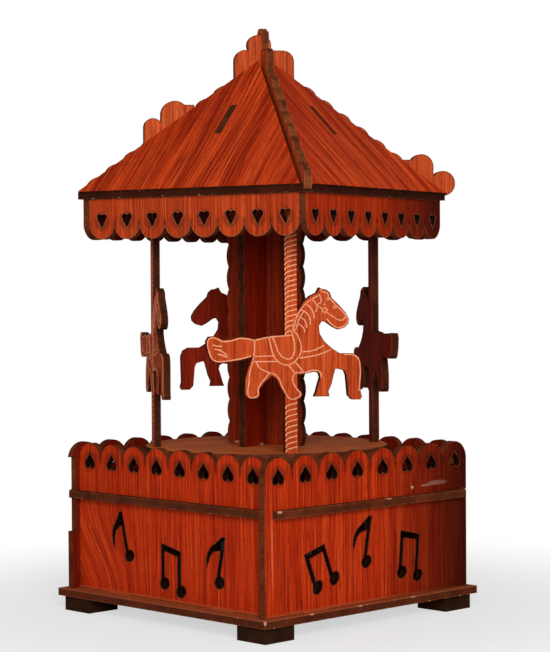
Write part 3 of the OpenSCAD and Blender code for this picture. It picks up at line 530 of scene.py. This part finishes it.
# The two column tones are partly two veneers, partly painted light on board a and painted shade on board b.
COLUMN_LIT = (paint(156, 54, 24), paint(134, 40, 16), paint(110, 27, 10), paint(68, 15, 5))
COLUMN_SHADED = (paint(146, 38, 13), paint(124, 25, 7), paint(98, 15, 3), paint(60, 9, 3))
HORSE = (paint(202, 92, 44), paint(182, 72, 28), paint(156, 52, 17), paint(108, 28, 8))
# The horses' back faces are painted dark, as painted shade.
HORSE_BACK_SHADE = (paint(158, 44, 15), paint(138, 33, 9), paint(110, 23, 6), paint(70, 14, 4))
# The cut edges of the horses and the column are laser-burnt, and painted darker still as painted shade.
BURNT_AND_SHADED_CORE = (paint(34, 17, 9), paint(72, 36, 20))
PALE_CORE = (paint(60, 26, 12), paint(124, 66, 36))


def lighter(tones, gain):
    """The same tones, made lighter by a gain; on the right-hand roof panel this is painted light."""
    return tuple((red * gain, green * gain, blue * gain, 1.0) for red, green, blue, _ in tones)


for number, side in enumerate(SIDES):
    to_the_right = side == "right"
    roof, valance = boards["roof_panel_" + side], boards["valance_" + side]
    # the right-hand roof panel is painted lighter: painted light.
    roof_tones = lighter(ROOF, 1.25 if to_the_right else 1.0)
    valance_tones = VALANCE_RED if to_the_right else VALANCE
    hanging = Tongues(valance, hanging=True)
    dress(roof.node, veneered(roof, roof_tones, BACK_FACE_SHADE, seed=30.0 + 5 * number, bands=1.0))
    dress(valance.node, veneered(valance, valance_tones, BACK_FACE_SHADE, seed=60.0 + 5 * number, bands=0.6,
                                 shade=far_end_painted_shade if to_the_right else None,
                                 inside=hanging.inside, extra=hanging.stain_and_foot_light))
for number, side in enumerate(HORSES):
    horse = boards["horse_" + side]
    dress(horse.node, veneered(horse, HORSE, HORSE_BACK_SHADE, seed=90.0 + 5 * number, bands=0.6,
                               fibreboard=BURNT_AND_SHADED_CORE))
for number, (node, tones) in enumerate({"column_board_a": COLUMN_LIT, "column_board_b": COLUMN_SHADED}.items()):
    dress(node, veneered(boards[node], tones, tones, seed=120.0 + 5 * number, fibreboard=BURNT_AND_SHADED_CORE))
for number, node in enumerate(("hip_board_a", "hip_board_b")):
    dress(node, veneered(boards[node], HIP, HIP, seed=140.0 + 5 * number, fibreboard=PALE_CORE))
print("finished", len(boards) - len(SIDES), "boards of the carousel")

# %% [markdown]
# ## Bare board
# The plates, trims, rafters and feet have no veneer. The feet are painted dark, as
# painted shade under the base plate. Handling rubs their corners, so the arrises are
# paler. A bevel node could pick them out, but it traces rays round every point. The
# mask here only asks how near a point lies to two faces of the piece at once. Here
# and there a chip of the finish is gone, and the top of the base plate is painted
# lighter than its edge, as painted light.

# %% Finishing the bare boards
BROWN = (paint(58, 23, 10), paint(88, 37, 16), paint(122, 66, 36))
# The feet are painted dark, as painted shade under the base plate.
FOOT_SHADE_BROWN = (paint(30, 14, 6), paint(50, 25, 12), paint(70, 38, 20))
PLATE_BROWN = (paint(36, 12, 4), paint(56, 20, 7), paint(84, 40, 18))
RAFTER_BROWN = (paint(54, 24, 10), paint(88, 42, 20), paint(104, 56, 30))
# LIT_TOP is painted light on the base plate's top face.
LIT_TOP, CHIPPED = paint(150, 72, 40), paint(184, 136, 100)
BOX_AXES = (RIGHT, UP.cross(RIGHT), UP)
CAROUSEL_AXES = (round_axis(0), round_axis(90), UP)


def bare_board(node, tones, chips=0.0, axes=BOX_AXES, top=None):
    """Fibreboard. tones are dark, light and rubbed, axes the piece's own, top the painted light on its
    upper face.
    """
    dark, light, rubbed = tones
    f = Finish("bare_" + node)
    p = f.place()
    near = []
    for axis in axes:
        low, high = reach(node, axis)
        middle, half = (low + high) / 2 / MM, (high - low) / 2 / MM
        near.append(f.step(abs(f.along(p, axis) - middle), half - 0.55, half - 0.1))
    arris = (near[0] * near[1]).most(near[1] * near[2]).most(near[0] * near[2])
    rub = f.noise(p, 0.35, 3.0, 0.6)
    colour = core_colour(f, p, dark, light)
    if top:
        head = reach(node, UP)[1] / MM
        colour = f.blend(f.step(f.along(p, UP), head - 0.4, head - 0.1), colour, top)
    colour = f.blend(arris * f.step(rub, 0.35, 0.7) * 0.7, colour, rubbed)
    chip = arris * f.step(f.noise(p, 0.6, 2.0), 0.66, 0.7) * chips
    colour = marked(f, node, f.blend(chip, colour, CHIPPED))
    grit = f.noise(p, 3.0, 2.0)
    f.set(Specular_IOR_Level=BOARD_SHINE)
    return f.set(Base_Color=colour, Roughness=0.62 + rub * 0.15, Normal=f.bump(grit, 0.25, GRAIN_DEPTH))


dress("base_plate", bare_board("base_plate", lighter(BROWN, 1.05), chips=1.0, top=LIT_TOP))
dress("corner_feet", bare_board("corner_feet", FOOT_SHADE_BROWN))
for side in SIDES:
    sheet = lighter(BROWN, 1.2) if side == "right" else BROWN
    dress("trim_" + side, bare_board("trim_" + side, sheet, chips=0.8))
dress("roof_plate", bare_board("roof_plate", PLATE_BROWN, chips=0.8, axes=CAROUSEL_AXES))
dress("roof_rafters", bare_board("roof_rafters", RAFTER_BROWN, axes=CAROUSEL_AXES))
print("finished the plates, the feet, the rafters and", len(SIDES), "trims")

# %% [markdown]
# The turntable is a disc of light brown board with a laser-cut rim, so its colour
# depends on how far a point lies from the spindle: pale on top, brown at the rim.
# Two materials on two sets of faces would give a hard line, and this gives a soft one.

# %% Finishing the turntable
TABLE_RIM = reach("turntable_disc", RIGHT)[1] / MM


def turntable_finish():
    f = Finish("bare_turntable")
    p = f.place()
    clouds = f.noise(p, 0.06, 3.0, 0.6)
    fleck = f.noise(p, 1.8, 3.0, 0.7)
    top = f.blend(f.step(clouds, 0.3, 0.7), paint(180, 86, 40), paint(206, 106, 54))
    top = f.blend(f.step(fleck, 0.5, 0.8) * 0.35, top, paint(146, 68, 32))
    level = f.vector(f.along(p, RIGHT), f.along(p, UP.cross(RIGHT)), 0.0)
    spread = f.node("ShaderNodeVectorMath", {"operation": "LENGTH"}, {0: level}, out=1)
    burnt = f.step(spread, TABLE_RIM - 0.7, TABLE_RIM - 0.15)
    f.set(Specular_IOR_Level=BOARD_SHINE)
    return f.set(Base_Color=f.blend(burnt, top, core_colour(f, p)), Roughness=0.55 + clouds * 0.15,
                 Normal=f.bump(fleck, 0.2, GRAIN_DEPTH))


dress("turntable_disc", turntable_finish())
print("the turntable is", round(2 * TABLE_RIM, 1), "mm across")

# %% [markdown]
# ## Metal
# The movement is brass and steel. Both finishes are metallic, with a brushed
# direction from noise that is stretched one way, and a little tarnish in clouds. The
# parts are small and half hidden, so one short function serves all three metals, and
# the record's own slots say which part is which.

# %% Finishing the movement
def metal(name, bright, dull, rough, brush=(0.3, 0.3, 6.0)):
    f = Finish(name)
    p = f.place()
    stretched = f.node("ShaderNodeVectorMath", {"operation": "MULTIPLY"}, {0: p, 1: brush})
    strokes = f.noise(stretched, 1.2, 3.0, 0.6)
    clouds = f.noise(p, 0.18, 3.0, 0.6)
    return f.set(Base_Color=f.blend(f.step(clouds, 0.35, 0.75), bright, dull), Metallic=1.0,
                 Roughness=rough + strokes * 0.2, Normal=f.bump(strokes, 0.15, GRIT_DEPTH))


brass = metal("brass", paint(226, 190, 110), paint(176, 134, 66), 0.22)
bright_steel = metal("bright_steel", paint(205, 206, 210), paint(160, 162, 166), 0.25)
spring_steel = metal("spring_steel", paint(120, 122, 128), paint(84, 86, 92), 0.3, (6.0, 0.3, 0.3))
metals = {"brass": brass, "bright_steel": bright_steel, "spring_steel": spring_steel}
slot_of = {part["node"]: part["material_slot"] for part in frame["record"]["subparts"]}
for node, slot in slot_of.items():
    if slot in metals:
        dress(node, metals[slot])
print("metal parts:", sum(slot in metals for slot in slot_of.values()))

# %% [markdown]
# ## Engraving
# A laser has drawn the horses' manes, saddles and straps as pale lines. Each stroke
# is a curve through a few points, given in millimetres: forwards from the pole and
# up from the turntable. Lines could be mixed into the veneer's colour, but thin
# slivers of geometry keep crisp ends and edges from close by, so they are used here.

# %% The strokes of a horse
STROKES = [
    # tail, back, mane and face, just inside the outline
    [(-14.2, 43.4), (-17.0, 44.0), (-20.0, 44.2), (-23.5, 43.3), (-26.7, 43.2), (-29.6, 44.5),
     (-31.4, 44.4), (-32.3, 43.0), (-31.8, 39.5), (-30.6, 36.6), (-28.8, 35.6), (-24.5, 35.8),
     (-19.6, 36.5), (-15.6, 37.4)],
    [(-14.2, 43.4), (-9.0, 44.5), (-4.5, 44.9), (0.2, 45.2)],
    [(0.8, 47.0), (1.8, 51.2), (3.9, 54.8), (6.9, 58.1), (10.6, 60.2)],
    [(2.1, 47.6), (3.2, 51.2), (5.0, 54.2)],
    [(11.6, 62.6), (12.5, 61.7), (13.9, 61.4), (14.7, 60.6), (14.6, 59.6), (12.9, 56.6)],
    [(15.0, 59.5), (18.1, 56.2), (20.9, 53.4), (22.4, 51.0), (21.9, 49.6), (20.6, 48.4),
     (18.7, 47.9), (16.4, 48.9), (14.0, 51.4)],
    [(13.6, 54.0), (16.0, 52.6), (18.4, 51.0), (20.2, 50.8), (21.7, 52.2)],
    # bridle, cheek strap and ring
    [(10.9, 60.9), (11.9, 59.0), (11.7, 57.6), (10.6, 56.8), (11.4, 55.8), (12.6, 55.2)],
    [(13.2, 57.2), (14.4, 58.6), (15.4, 59.2)],
    [(13.1, 55.6), (14.0, 55.2), (14.2, 54.3), (13.4, 53.8), (12.5, 54.2), (12.4, 55.1),
     (13.1, 55.6)],
    # mane
    [(8.0, 59.2), (9.4, 57.8), (10.2, 55.8), (9.8, 54.0)],
    [(5.4, 57.4), (7.4, 56.0), (8.8, 53.8), (9.2, 51.4)],
    [(4.2, 54.8), (6.0, 53.8), (7.4, 51.6), (7.6, 49.2)],
    [(2.8, 52.4), (4.6, 51.6), (6.0, 49.8), (6.2, 48.0)],
    [(2.2, 49.6), (3.8, 49.0), (5.2, 47.4), (5.4, 46.2)],
    # saddle
    [(-8.7, 44.7), (-7.8, 40.8), (-6.7, 37.4), (-5.0, 35.2), (-2.7, 34.0), (0.2, 34.3),
     (2.5, 36.3), (3.9, 39.1), (3.7, 42.4), (2.4, 45.4), (0.5, 47.4)],
    [(-7.3, 44.7), (-6.1, 41.9), (-4.7, 38.5), (-2.7, 36.6), (-0.4, 36.2), (1.0, 38.0),
     (1.4, 41.3), (0.9, 44.2), (0.2, 46.6)],
    # straps across the breast and the rump, and the girth
    [(4.2, 38.8), (8.8, 39.3), (13.0, 41.2)],
    [(3.4, 36.5), (8.8, 37.2), (12.4, 38.2), (15.8, 39.6)],
    [(-14.8, 37.3), (-6.9, 37.4)],
    [(-15.3, 35.3), (-5.4, 35.3)],
    [(-1.0, 33.9), (1.5, 30.5)],
    [(1.7, 34.9), (5.2, 30.7)],
    # rump, thigh and belly
    [(-14.2, 43.4), (-14.2, 40.2), (-14.6, 36.8), (-15.3, 34.0), (-16.1, 31.2), (-16.4, 27.6),
     (-16.9, 23.6), (-16.3, 21.9), (-13.8, 21.9), (-12.9, 22.6), (-12.9, 24.8), (-10.4, 28.6),
     (-7.8, 30.8), (-5.2, 29.2), (-3.4, 25.2), (-1.3, 21.6)],
    [(-13.6, 35.2), (-12.4, 33.0), (-10.2, 31.7), (-7.8, 30.8)],
    [(3.0, 21.6), (3.7, 22.6), (2.1, 24.7), (0.6, 28.2), (1.4, 30.5), (5.4, 30.9), (9.6, 31.7),
     (11.5, 30.8), (11.8, 28.6)],
    [(-1.3, 21.6), (-0.2, 20.9), (1.6, 20.9), (3.0, 21.6)],
    # breast, chest and the lifted foreleg
    [(20.8, 37.6), (24.2, 37.5), (26.1, 36.4), (27.0, 34.0), (26.7, 23.6)],
    # tail strokes
    [(-30.4, 41.9), (-28.6, 41.4), (-26.8, 41.3)],
    [(-29.8, 40.3), (-27.6, 39.8), (-25.4, 38.2), (-24.8, 37.2)],
    [(-28.6, 38.3), (-26.8, 38.0), (-25.2, 37.0)],
]
EYE = [(16.7, 56.0), (17.2, 56.5), (17.8, 56.2), (17.6, 55.6), (17.0, 55.5), (16.7, 56.0)]
print(len(STROKES), "strokes on each horse")

# %% [markdown]
# The node tree takes the strokes as one curve object and sweeps a flat bar along
# them, so that each line is a closed sliver standing just proud of the veneer. A
# curve's own bevel could do it too, but it is round, and its size is no input.

# %% Building a tree
LINE_WIDTH, EYE_WIDTH, LINE_HEIGHT = 0.5 * MM, 0.4 * MM, 0.08 * MM
BAR_INPUTS = [("Width", "NodeSocketFloat", LINE_WIDTH), ("Height", "NodeSocketFloat", LINE_HEIGHT),
              ("Finish", "NodeSocketMaterial", None)]


def new_tree(name, inputs):
    """A Geometry Nodes tree with a geometry in and out, and named inputs for its sizes."""
    tree = bpy.data.node_groups.new(name, "GeometryNodeTree")
    tree.interface.new_socket("Geometry", in_out="INPUT", socket_type="NodeSocketGeometry")
    for label, kind, value in inputs:
        socket = tree.interface.new_socket(label, in_out="INPUT", socket_type=kind)
        if value is not None:
            socket.default_value = value
    tree.interface.new_socket("Geometry", in_out="OUTPUT", socket_type="NodeSocketGeometry")
    return tree


def join(tree, kind, links=None):
    """Adds one node to a tree, links or sets what comes in, and returns it."""
    made = tree.nodes.new(kind)
    for key, value in (links or {}).items():
        if isinstance(value, bpy.types.NodeSocket):
            tree.links.new(value, made.inputs[key])
        else:
            made.inputs[key].default_value = value
    return made


print("every bar has", len(BAR_INPUTS), "inputs")

# %% [markdown]
# The lines and the twist share the sweep and the end of the tree. Copies are made
# real at the end, because an export leaves out what is only an instance.

# %% A tree that turns strokes into engraved lines
def sweep(tree, start):
    """Sweeps a bar of the named width and height along the strokes that come in."""
    bar = join(tree, "GeometryNodeCurvePrimitiveQuadrilateral",
               {"Width": start["Width"], "Height": start["Height"]})
    return join(tree, "GeometryNodeCurveToMesh",
                {"Curve": start["Geometry"], "Profile Curve": bar.outputs[0], "Fill Caps": True})


def end_tree(tree, start, shape):
    """Makes every copy real and gives the whole its finish."""
    real = join(tree, "GeometryNodeRealizeInstances", {"Geometry": shape.outputs[0]})
    done = join(tree, "GeometryNodeSetMaterial", {"Geometry": real.outputs[0], "Material": start["Finish"]})
    join(tree, "NodeGroupOutput", {0: done.outputs[0]})
    return tree


def line_tree():
    tree = new_tree("engraved_lines", BAR_INPUTS)
    start = tree.nodes.new("NodeGroupInput").outputs
    return end_tree(tree, start, sweep(tree, start))


line_maker = line_tree()
print("the line tree has", len(line_maker.nodes), "nodes")

# %% [markdown]
# One horse is drawn lying in a plane and the result is copied to the four horses,
# each time turned to that horse's own directions. `grow` runs a tree as a modifier,
# keeps the plain mesh and takes the modifier away again, because the finished piece
# has to be a mesh that can ride on the carousel.

# %% Drawing strokes and growing them
def grow(source, tree, values):
    """Runs a tree on an object and returns the plain mesh that it makes."""
    modifier = source.modifiers.new("grow", "NODES")
    modifier.node_group = tree
    for item in tree.interface.items_tree:
        if item.in_out == "INPUT" and item.name in values:
            modifier[item.identifier] = values[item.name]
    view_layer = bpy.context.evaluated_depsgraph_get()
    view_layer.update()
    mesh = bpy.data.meshes.new_from_object(source.evaluated_get(view_layer), depsgraph=view_layer)
    source.modifiers.remove(modifier)
    return mesh


def draw(strokes, name):
    """A curve object with a smooth spline for each stroke: x forwards and y up."""
    curve = bpy.data.curves.new(name, "CURVE")
    curve.dimensions = "3D"
    for stroke in strokes:
        spline = curve.splines.new("BEZIER")
        spline.bezier_points.add(len(stroke) - 1)
        spline.resolution_u = 4
        for point, (x, y) in zip(spline.bezier_points, stroke):
            point.co = (x * MM, y * MM, 0)
            point.handle_left_type = point.handle_right_type = "AUTO"
    made = bpy.data.objects.new(name, curve)
    bpy.context.scene.collection.objects.link(made)
    return made


drawing, eye_drawing = draw(STROKES, "horse_strokes"), draw([EYE], "eye_strokes")
print("drew", len(drawing.data.splines) + len(eye_drawing.data.splines), "splines")

# %% [markdown]
# The copies could stay objects of their own, but one object for each kind and body
# is quicker to handle. It stays at the origin, and its place is in its mesh.

# %% Joining copies into a piece
def piece(name, parts, body):
    """Joins (mesh, matrix) parts into one object that rides on a body."""
    whole = bmesh.new()
    for mesh, matrix in parts:
        copy = mesh.copy()
        copy.transform(matrix)
        whole.from_mesh(copy)
        bpy.data.meshes.remove(copy)
    mesh = bpy.data.meshes.new(name)
    whole.to_mesh(mesh)
    whole.free()
    for material in parts[0][0].materials:
        mesh.materials.append(material)
    made = bpy.data.objects.new(name, mesh)
    bpy.context.scene.collection.objects.link(made)
    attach(made, body)
    print(name + ":", len(mesh.polygons), "faces")


# %% [markdown]
# A laser lifts the stain and leaves bare, slightly uneven wood, so a line is pale and
# matt. The eye is small, so its line is finer than the others.

# %% Engraving the four horses
def engraved_finish():
    f = Finish("engraved_line")
    p = f.place()
    depth = f.noise(p, 1.3, 2.0, 0.6)
    colour = f.blend(f.step(depth, 0.35, 0.7), paint(224, 152, 118), paint(200, 118, 82))
    f.set(Specular_IOR_Level=BOARD_SHINE)
    return f.set(Base_Color=colour, Roughness=0.7 + depth * 0.1, Normal=f.bump(depth, 0.2, GRIT_DEPTH))


engraved = engraved_finish()
LINE_LIFT = 0.02 * MM  # how far a line's middle stands above the veneer
lines = grow(drawing, line_maker, {"Width": LINE_WIDTH, "Height": LINE_HEIGHT, "Finish": engraved})
eyes = grow(eye_drawing, line_maker, {"Width": EYE_WIDTH, "Height": LINE_HEIGHT, "Finish": engraved})
for used in (drawing, eye_drawing):
    bpy.data.objects.remove(used)


def on_horse(side):
    """Takes a drawing (x forwards, y up, z out) to the show face of one horse."""
    board = boards["horse_" + side]
    forwards, out = UP.cross(board.face), board.face
    turn = Matrix((forwards, UP, out)).transposed().to_4x4()
    home = out * (board.middle + board.half + LINE_LIFT) + UP * table_top
    return Matrix.Translation(home) @ turn


parts = [(mesh, on_horse(side)) for side in HORSES for mesh in (lines, eyes)]
piece("horse_engraving", parts, "carousel")

# %% [markdown]
# ## Twisted poles
# Each pole carries slanting engraved strokes, like the twist of a brass pole. The
# strokes repeat at one pitch, so a second tree puts copies of a single stroke on a
# row of points. The horse covers the middle of the pole, so there are two rows.

# %% A tree that repeats a stroke up a pole
def twist_tree():
    inputs = [("Strokes", "NodeSocketInt", 10), ("Pitch", "NodeSocketFloat", 2 * MM),
              ("Start", "NodeSocketFloat", 0.0)]
    tree = new_tree("pole_twist", inputs + BAR_INPUTS)
    start = tree.nodes.new("NodeGroupInput").outputs
    first = join(tree, "ShaderNodeCombineXYZ", {"Y": start["Start"]})
    climb = join(tree, "ShaderNodeCombineXYZ", {"Y": start["Pitch"]})
    row = join(tree, "GeometryNodeMeshLine",
               {"Count": start["Strokes"], "Start Location": first.outputs[0], "Offset": climb.outputs[0]})
    stroke = sweep(tree, start)
    copies = join(tree, "GeometryNodeInstanceOnPoints",
                  {"Points": row.outputs[0], "Instance": stroke.outputs[0]})
    return end_tree(tree, start, copies)


TWIST = [(-2.25, -1.3), (-2.05, -0.6), (-1.4, -0.05), (0.3, 0.45), (2.3, 0.95)]
HOOVES, SADDLE = 20.0 * MM, 46.6 * MM  # the levels between which the horse covers its pole
FOOT_GAP, HEAD_GAP = 1.6 * MM, 14.0 * MM  # plain ends of a pole, the upper one behind the valance
twist_maker = twist_tree()
stroke_drawing = draw([TWIST], "twist_stroke")
pole_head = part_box("roof_plate")[0].z - table_top
rows = []
for low, high, pitch in ((FOOT_GAP, HOOVES, 2.1 * MM), (SADDLE, pole_head - HEAD_GAP, 1.9 * MM)):
    count = int((high - low) / pitch) + 1
    values = {"Strokes": count, "Pitch": pitch, "Start": low,
              "Width": LINE_WIDTH, "Height": LINE_HEIGHT, "Finish": engraved}
    rows.append(grow(stroke_drawing, twist_maker, values))
    print("a row of", count, "strokes")
bpy.data.objects.remove(stroke_drawing)
parts = [(mesh, on_horse(side)) for side in HORSES for mesh in rows]
piece("pole_twist", parts, "carousel")

# %% [markdown]
# ## Scorched rims
# Where a laser cuts, it browns a narrow rim of the veneer. A material could find the
# outline only with a formula for every curve. The mesh already knows it, so a thin
# band, about a third of a millimetre wide or less, is laid on the face along each cut
# edge. The valances' rims are only toasted, and paler.

# %% Two scorched finishes
def scorched_finish(name, dark, light):
    f = Finish(name)
    p = f.place()
    soot = f.noise(p, 0.9, 3.0, 0.6)
    colour = f.blend(f.step(soot, 0.3, 0.7), dark, light)
    f.set(Specular_IOR_Level=BOARD_SHINE)
    return f.set(Base_Color=colour, Roughness=0.75 + soot * 0.1, Normal=f.bump(soot, 0.2, GRIT_DEPTH))


scorched = scorched_finish("scorched_rim", paint(76, 27, 12), paint(120, 52, 26))
toasted = scorched_finish("toasted_rim", paint(96, 42, 22), paint(152, 80, 50))
print("rims are", scorched.name, "or", toasted.name)

# %% [markdown]
# A copy of each board's mesh is cleaned up first, because a CAD node is loose
# triangles. A cut edge lies between a triangle of the show face and one of a wall, so
# it has exactly one neighbour that faces outwards at the face's level.

# %% Finding the cut edges
def merged(board):
    """A board's mesh with its loose triangles sewn together."""
    work = bmesh.new()
    work.from_mesh(frame["nodes"][board.node].data)
    bmesh.ops.remove_doubles(work, verts=work.verts, dist=1e-6)
    return work


def cut_edges(work, face, level):
    """Each edge between the face at a level and a cut wall, with the way in over the face."""
    found = []
    for edge in work.edges:
        tops = [g for g in edge.link_faces
                if g.normal.dot(face) > 0.99 and abs(g.verts[0].co.dot(face) - level) < 0.05 * MM]
        if len(edge.link_faces) != 2 or len(tops) != 1:
            continue
        a, b = edge.verts
        inwards = face.cross((b.co - a.co).normalized())
        if inwards.dot(tops[0].calc_center_median() - a.co) < 0:
            inwards = -inwards
        found.append((a, b, inwards))
    return found


front = boards["panel_front"]
sewn = merged(front)
print("cut edges on the front panel:", len(cut_edges(sewn, front.face, front.middle + front.half)))
sewn.free()

# %% [markdown]
# Two cut edges meet at each corner of an outline. Moving the corner inwards by both
# at once gives the mitre, so neighbouring bands join without a gap. Each stretch of
# band is a small closed box whose foot is sunk in the board.

# %% Laying the bands
PANEL_RIM, VALANCE_RIM, COLUMN_RIM, HORSE_RIM = 0.32 * MM, 0.3 * MM, 0.28 * MM, 0.22 * MM
SLIVER_SIDES = ((0, 1, 2, 3), (7, 6, 5, 4), (0, 4, 5, 1), (1, 5, 6, 2), (2, 6, 7, 3), (3, 7, 4, 0))


def mitres(edges, width):
    """How far each corner moves over the face, so that the band is as wide all along."""
    ways = {}
    for a, b, inwards in edges:
        ways.setdefault(a, []).append(inwards)
        ways.setdefault(b, []).append(inwards)
    inset = {}
    for corner, both in ways.items():
        total = sum(both, Vector())
        inset[corner] = total * (width * len(both) / max(total.length_squared, 1.0))
    return inset


def rim_bands(board, width, sides=(1,), finish=scorched):
    """Flat closed bands along the cut edges of a board's faces, as a mesh."""
    work, band = merged(board), bmesh.new()
    for side in sides:
        face = board.face * side
        edges = cut_edges(work, face, board.middle * side + board.half)
        inset = mitres(edges, width)
        for a, b, _ in edges:
            row = [band.verts.new(corner.co + inset[corner] * share + face * height)
                   for height in (LINE_LIFT, -2 * LINE_LIFT)
                   for corner, share in ((a, 0), (b, 0), (b, 1), (a, 1))]
            for quad in SLIVER_SIDES:
                band.faces.new([row[k] for k in quad])
    bmesh.ops.recalc_face_normals(band, faces=band.faces)
    mesh = bpy.data.meshes.new("rim")
    band.to_mesh(mesh)
    mesh.materials.append(finish)
    work.free()
    band.free()
    return mesh


still = Matrix.Identity(4)
parts = [(rim_bands(boards["panel_" + side], PANEL_RIM), still) for side in SIDES]
piece("panel_rims", parts, "box")
parts = [(rim_bands(boards["valance_" + side], VALANCE_RIM, finish=toasted), still) for side in SIDES]
piece("valance_rims", parts, "carousel")
parts = [(rim_bands(boards["horse_" + side], HORSE_RIM), still) for side in HORSES]
parts += [(rim_bands(boards[node], COLUMN_RIM, sides=(1, -1)), still)
          for node in ("column_board_a", "column_board_b", "hip_board_a", "hip_board_b")]
piece("carousel_rims", parts, "carousel")

# %% [markdown]
# ## The studio
# A pale floor, a large soft lamp high to the right of the camera, a weak one to its
# left and an even glow from all round. The glow looks white to the camera, but it
# lights the object only gently. Round the object the floor keeps its shadow, and
# farther out it fades into the same white. A backdrop sheet would need a bend behind
# the object, and this needs only a plane.

# %% Floor and glow
FLOOR_SIZE, WHITE = 40, (1, 1, 1, 1)


def floor_finish():
    f = Finish("studio_floor")
    p = f.place()
    f.set(Base_Color=(0.82, 0.82, 0.82, 1), Roughness=0.9, Specular_IOR_Level=0.1)
    seen = f.node("ShaderNodeLightPath", None, None, out=0)
    glow = f.node("ShaderNodeEmission", None, {"Color": WHITE, "Strength": 1.0})
    spread = f.node("ShaderNodeVectorMath", {"operation": "LENGTH"}, {0: p}, out=1)
    far = f.step(spread, 70, 260) * 0.4 + 0.6
    both = f.node("ShaderNodeMixShader", None, {0: seen * far, 1: Wire(f, f.shader.outputs[0]), 2: glow})
    output = next(n for n in f.tree.nodes if n.type == "OUTPUT_MATERIAL")
    f.tree.links.new(both.socket, output.inputs[0])
    return f.material


bpy.ops.mesh.primitive_plane_add(size=FLOOR_SIZE, location=(0, 0, 0))
floor = bpy.context.active_object
floor.name = "studio_floor"
floor.data.materials.append(floor_finish())
floor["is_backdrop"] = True

world = bpy.data.worlds.new("studio_glow")
bpy.context.scene.world = world
world.use_nodes = True
world.node_tree.nodes.clear()
tree = world.node_tree
seen = join(tree, "ShaderNodeLightPath").outputs["Is Camera Ray"]
soft = join(tree, "ShaderNodeBackground", {"Color": WHITE, "Strength": 0.2})
white = join(tree, "ShaderNodeBackground", {"Color": WHITE, "Strength": 1.0})
either = join(tree, "ShaderNodeMixShader", {0: seen, 1: soft.outputs[0], 2: white.outputs[0]})
join(tree, "ShaderNodeOutputWorld", {0: either.outputs[0]})
print("the floor is", FLOOR_SIZE, "m square")

# %% [markdown]
# An area lamp is a soft box. The key stands to the right and gives the shadows their
# side. The fill is far weaker and keeps the front panel from going dark.

# %% Lamps
def lamp(name, place, target, size, watts):
    light = bpy.data.lights.new(name, "AREA")
    light.size, light.energy = size, watts
    made = bpy.data.objects.new(name, light)
    made.location = place
    made.rotation_euler = (Vector(target) - Vector(place)).to_track_quat("-Z", "Y").to_euler()
    bpy.context.scene.collection.objects.link(made)
    print(name, "at", [round(x, 2) for x in place])


lamp("key", (0.85, -0.71, 0.44), (0, 0, 0.12), 0.55, 13.5)
lamp("fill", (-0.40, -0.95, 0.25), (0, 0, 0.12), 0.6, 1.0)

# %% [markdown]
# ## The camera
# It stands about 0.8 m away, a little above half the model's height, and looks
# almost level at the corner between the front and the right panel. Its own axes are
# worked out from yaw, dip and tilt, because a lens this long shows a small error.

# %% The camera
CAMERA_AT = Vector((0.5778, -0.5652, 0.1321))
yaw, dip, tilt = math.radians(45.37), math.radians(1.24), math.radians(0.35)
ahead = Vector((-math.sin(yaw) * math.cos(dip), math.cos(yaw) * math.cos(dip), -math.sin(dip)))
level = Vector((math.cos(yaw), math.sin(yaw), 0))
above = level.cross(ahead)
right = level * math.cos(tilt) - above * math.sin(tilt)
top = level * math.sin(tilt) + above * math.cos(tilt)
eye = bpy.data.cameras.new("camera")
eye.sensor_width = 36
eye.lens = 110.4
eye.clip_start = 0.01
camera = bpy.data.objects.new("camera", eye)
camera.matrix_world = Matrix.Translation(CAMERA_AT) @ Matrix((right, top, -ahead)).transposed().to_4x4()
bpy.context.scene.collection.objects.link(camera)
bpy.context.scene.camera = camera
bpy.context.scene.view_settings.view_transform = "Standard"
print("the camera stands", round(CAMERA_AT.length, 2), "m from the model's foot")

# %% [markdown]
# ## The sizes
# Dressing a model can make it grow, so both boxes are measured and kept: the solids'
# own, and the one with every rim and line in place.

# %% Sizes, and the end
dressed_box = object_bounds()
growth = max(abs(a - b) for one, other in zip(cad_box, dressed_box) for a, b in zip(one, other))
print("the dressed model stands", round(growth / MM, 3), "mm proud of the CAD box at most")
